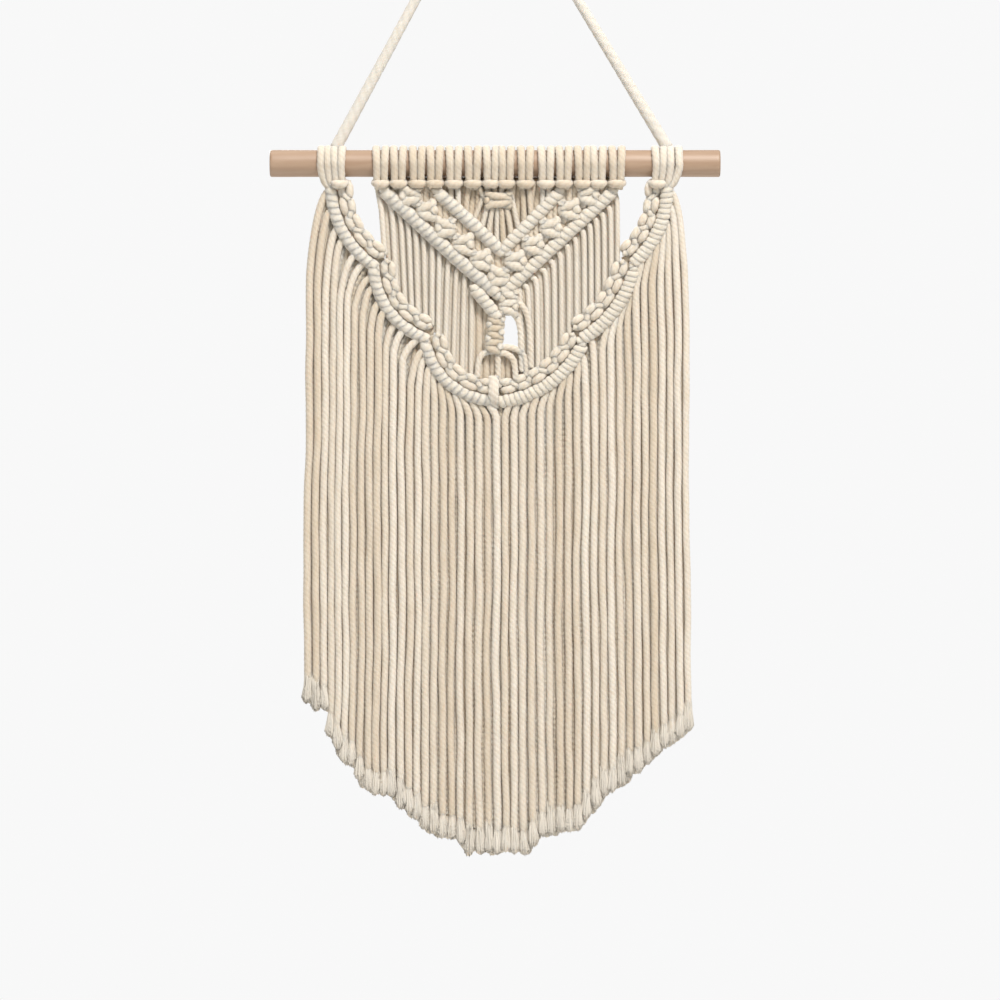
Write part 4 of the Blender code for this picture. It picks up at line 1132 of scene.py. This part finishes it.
def make_tuft(bulbs, fibres, end, tint, count=TUFT_FIBRES):
    """The frayed end of a strand: a soft, flattened bulb with fibres lying down it.

    At a share t down the tuft its half width is strand + (width - strand) t^1.2, drawn in as an
    ellipse over its last part. The fibre at angle a lies on the bulb's side there, and ends the
    sooner the further out it lies.
    """
    length = TUFT_LENGTH * draw.uniform(*LENGTH_SHARE)
    rise = length * draw.uniform(*TUFT_RISE)
    lean = draw.uniform(-TUFT_LEAN, TUFT_LEAN)
    wide = TUFT_WIDTH * draw.uniform(*WIDTH_SHARE)
    tint = tint * TUFT_TINT

    def half(share, full):
        return STRAND_HALF + (full - STRAND_HALF) * np.clip(share, 0, 1) ** TUFT_SWELL

    t = np.concatenate([np.linspace(-0.5, 0.55, 9),
                        TUFT_CLOSE + 0.38 * np.sin(np.linspace(0.1, 1, 7) * math.pi / 2)])
    closing = np.sqrt(np.clip(1 - (np.clip(t - TUFT_CLOSE, 0, 1) / 0.385) ** 2, 0.003, 1))
    closing *= np.clip(0.7 + 0.5 * (t + 0.5), 0, 1)
    path = np.stack([end[0] + lean * np.clip(t, 0, 1), end[1] + t * 0, end[2] - t * length], axis=1)
    bulbs.twisted_cord(path, half(t, wide) * TUFT_BULB, half(t, TUFT_DEPTH) * TUFT_BULB,
                       pitch=TUFT_PITCH, crease=TUFT_CREASE, tint=tint, taper=closing)
    for index in range(count):
        angle = index * GOLDEN_ANGLE + draw.uniform(-FIBRE_TURN, FIBRE_TURN)
        a, b = math.cos(angle), math.sin(angle)
        first = draw.uniform(-rise / length, FIBRE_LOWEST)
        t = np.linspace(first, 1.0 - 0.3 * a * a + draw.uniform(*FIBRE_SHORT), FIBRE_POINTS)
        out = draw.uniform(*FIBRE_OUT) - 0.1 * np.clip(1 - (t - t[0]) / 0.3, 0, 1)
        bend = draw.uniform(-FIBRE_BEND, FIBRE_BEND) * np.sin(np.clip(t, 0, 1) * 3)
        fibre = np.stack([end[0] + lean * np.clip(t, 0, 1) + a * out * half(t, wide) + bend,
                          end[1] + b * out * half(t, TUFT_DEPTH), end[2] - t * length], axis=1)
        taper = np.clip((t - t[0]) / 0.25, 0.25, 1) * (1 - 0.5 * np.clip(t, 0, 1) ** 3)
        fibres.twisted_cord(fibre, FIBRE_HALF, crease=0.0, taper=taper,
                            tint=np.clip(tint + draw.uniform(-FIBRE_TINT, FIBRE_TINT), 0, 1))


def make_fringe(side):
    """A side's three bars with their hitches, the strands that hang from them and their ends.

    Behind each gap of the front strands hangs a back strand with a thinner tuft.
    """
    swags = [row for row in SWAGS if row.side == side]
    bars = Cords()
    front = Cords()
    back = Cords(sides=BACK_SIDES)
    bulbs = Cords()
    fibres = Cords(sides=FIBRE_SIDES)
    for number, swag in enumerate(swags):
        hitches(bars, swag, BARS[side], past=BAR_PAST)
        count = len(swag.hang)
        for index, hang_x in enumerate(swag.hang):
            share = (index + 0.5 + (ROOT_STAGGER if index % 2 == 0 else -ROOT_STAGGER)) / count
            if number == index == 0:
                share = SHOULDER_SHARE
            path = fringe_path(swag, share, hang_x, FRINGE_FRONT_Y + draw.uniform(*FRONT_UNEVEN),
                               FRONT_SWAY)
            tint = draw.uniform(*FRONT_TINT)
            to_end = np.linspace(len(path) - 1, 0, len(path)) * STRAND_STEP
            neck = np.clip(STRAND_END + STRAND_NECK * to_end / STRAND_MERGE, 0, 1)
            front.twisted_cord(path, STRAND_HALF * draw.uniform(*FRONT_WIDTH), crease=0.07,
                               tint=tint, taper=neck)
            make_tuft(bulbs, fibres, path[-1], tint)
        for share in np.linspace(*LINING_SHARES, 2 * count):
            (x, drop), = arc(swag, np.array([share]))[0]
            lining = place(x, drop + np.arange(0, LINING_LENGTH, STRAND_STEP), 0.0)
            # the lining's tint is painted shade behind the gaps under the bar
            back.twisted_cord(lining, STRAND_HALF, crease=0.05, tint=LINING_SHADE_TINT,
                              taper=rounded_ends(-lining[:, 2] - drop))
        last = number + 1 == len(swags)
        after = LAST_BACK_X if last else swags[number + 1].hang[0]
        rows = swag.hang if last and side == "right" else swag.hang + (after,)
        for index, (here, there) in enumerate(zip(rows, rows[1:])):
            share = min((index + BACK_ROOT) / count, BACK_ROOT_LAST)
            path = fringe_path(swag, share, (here + there) / 2, FRINGE_BACK_Y, BACK_SWAY)
            back.twisted_cord(path[::2], STRAND_HALF * draw.uniform(*BACK_WIDTH), crease=0.05,
                              tint=draw.uniform(*BACK_TINT))
            make_tuft(bulbs, fibres, path[-1], 0.5, TUFT_FIBRES // 2)
    node = "fringe_" + side
    for cords, name, material in ((bars, "swag_bars_", COTTON), (front, "fringe_front_", COTTON),
                                  (back, "fringe_back_", COTTON), (bulbs, "frayed_ends_", COTTON),
                                  (fibres, "end_fibres_", COMBED_COTTON)):
        show(cords.mesh(name + side), material, [node])


# ---------------------------------------------------------------- studio

# In metres
VIEW_WIDTH = 0.5556         # across the view at the hanging's plane
VIEW_X, VIEW_Z = 0.00444, -0.35155
CAMERA_AWAY = 2.6
SENSOR = 36.0               # millimetres
FLOOR_Z = -1.5
FLOOR_RADIUS = 5.0
FLOOR_SIDES = 64
FILL_BELOW, FILL_ABOVE = 0.08, 0.8      # the walls' light from straight below and above
WALL_WHITE = 0.94                       # and what the camera sees of them
Lamp = namedtuple("Lamp", "name location target size power colour")
LAMPS = (
    Lamp("key", (0.6, -1.75, 1.7), (0.0, 0.0, -0.35), 0.7, 73.0, "#FFFAF4"),
    Lamp("back", (-0.7, 1.9, 0.5), (0.0, 0.0, -0.3), 0.8, 26.0, "#FFFFFF"),
)


def make_camera():
    """A camera square to the hanging, at the photograph's height and framing."""
    data = bpy.data.cameras.new("camera")
    data.sensor_width = SENSOR
    data.lens = SENSOR * CAMERA_AWAY / VIEW_WIDTH
    data.clip_end = 20.0
    camera = bpy.data.objects.new("camera", data)
    bpy.context.scene.collection.objects.link(camera)
    camera.location = (VIEW_X, -CAMERA_AWAY, VIEW_Z)
    camera.rotation_euler = (math.pi / 2, 0.0, 0.0)
    bpy.context.scene.camera = camera


def make_lamp(lamp):
    """A square area light that points at its target."""
    data = bpy.data.lights.new(lamp.name, "AREA")
    data.shape = "SQUARE"
    data.size = lamp.size
    data.energy = lamp.power
    data.color = linear(lamp.colour)[:3]
    light = bpy.data.objects.new(lamp.name, data)
    bpy.context.scene.collection.objects.link(light)
    light.location = lamp.location
    ahead = Vector(lamp.target) - Vector(lamp.location)
    light.rotation_euler = ahead.to_track_quat("-Z", "Y").to_euler()


def make_floor():
    """A round pale floor far below the hanging."""
    angle = np.arange(FLOOR_SIDES) * math.tau / FLOOR_SIDES
    rim = np.stack([FLOOR_RADIUS * np.cos(angle), FLOOR_RADIUS * np.sin(angle),
                    angle * 0 + FLOOR_Z], axis=1)
    mesh = bpy.data.meshes.new("studio_floor")
    mesh.from_pydata(rim.tolist(), [], [list(range(FLOOR_SIDES))])
    mesh.materials.append(painted_board("matt_white_board"))
    floor = bpy.data.objects.new("studio_floor", mesh)
    bpy.context.scene.collection.objects.link(floor)


def make_world():
    """A white studio: its walls are nearly white to look at, and throw a softer light, mostly
    from above."""
    world = bpy.data.worlds.new("soft_studio")
    world.use_nodes = True
    tree = world.node_tree
    sky = add(tree, "ShaderNodeTexCoord")
    direction = add(tree, "ShaderNodeSeparateXYZ", Vector=sky.outputs["Generated"])
    fill = add(tree, "ShaderNodeMapRange", Value=direction.outputs["Z"],
               From_Min=-1.0, To_Min=FILL_BELOW, To_Max=FILL_ABOVE)
    seen = add(tree, "ShaderNodeLightPath")
    strength = add(tree, "ShaderNodeMapRange", Value=seen.outputs["Is Camera Ray"],
                   To_Min=fill.outputs[0], To_Max=WALL_WHITE)
    tree.nodes["Background"].inputs["Color"].default_value = linear("#FFFFFF")
    tree.links.new(strength.outputs[0], tree.nodes["Background"].inputs["Strength"])
    bpy.context.scene.world = world
    bpy.context.scene.view_settings.view_transform = "Standard"


make_camera()
make_hanging_cord()
make_rod()
make_heading()
make_ridges()
make_band()
make_fan()
make_loose_strands()
make_tail()
make_braids()
make_fringe("left")
make_fringe("right")
make_floor()
make_world()
for lamp in LAMPS:
    make_lamp(lamp)
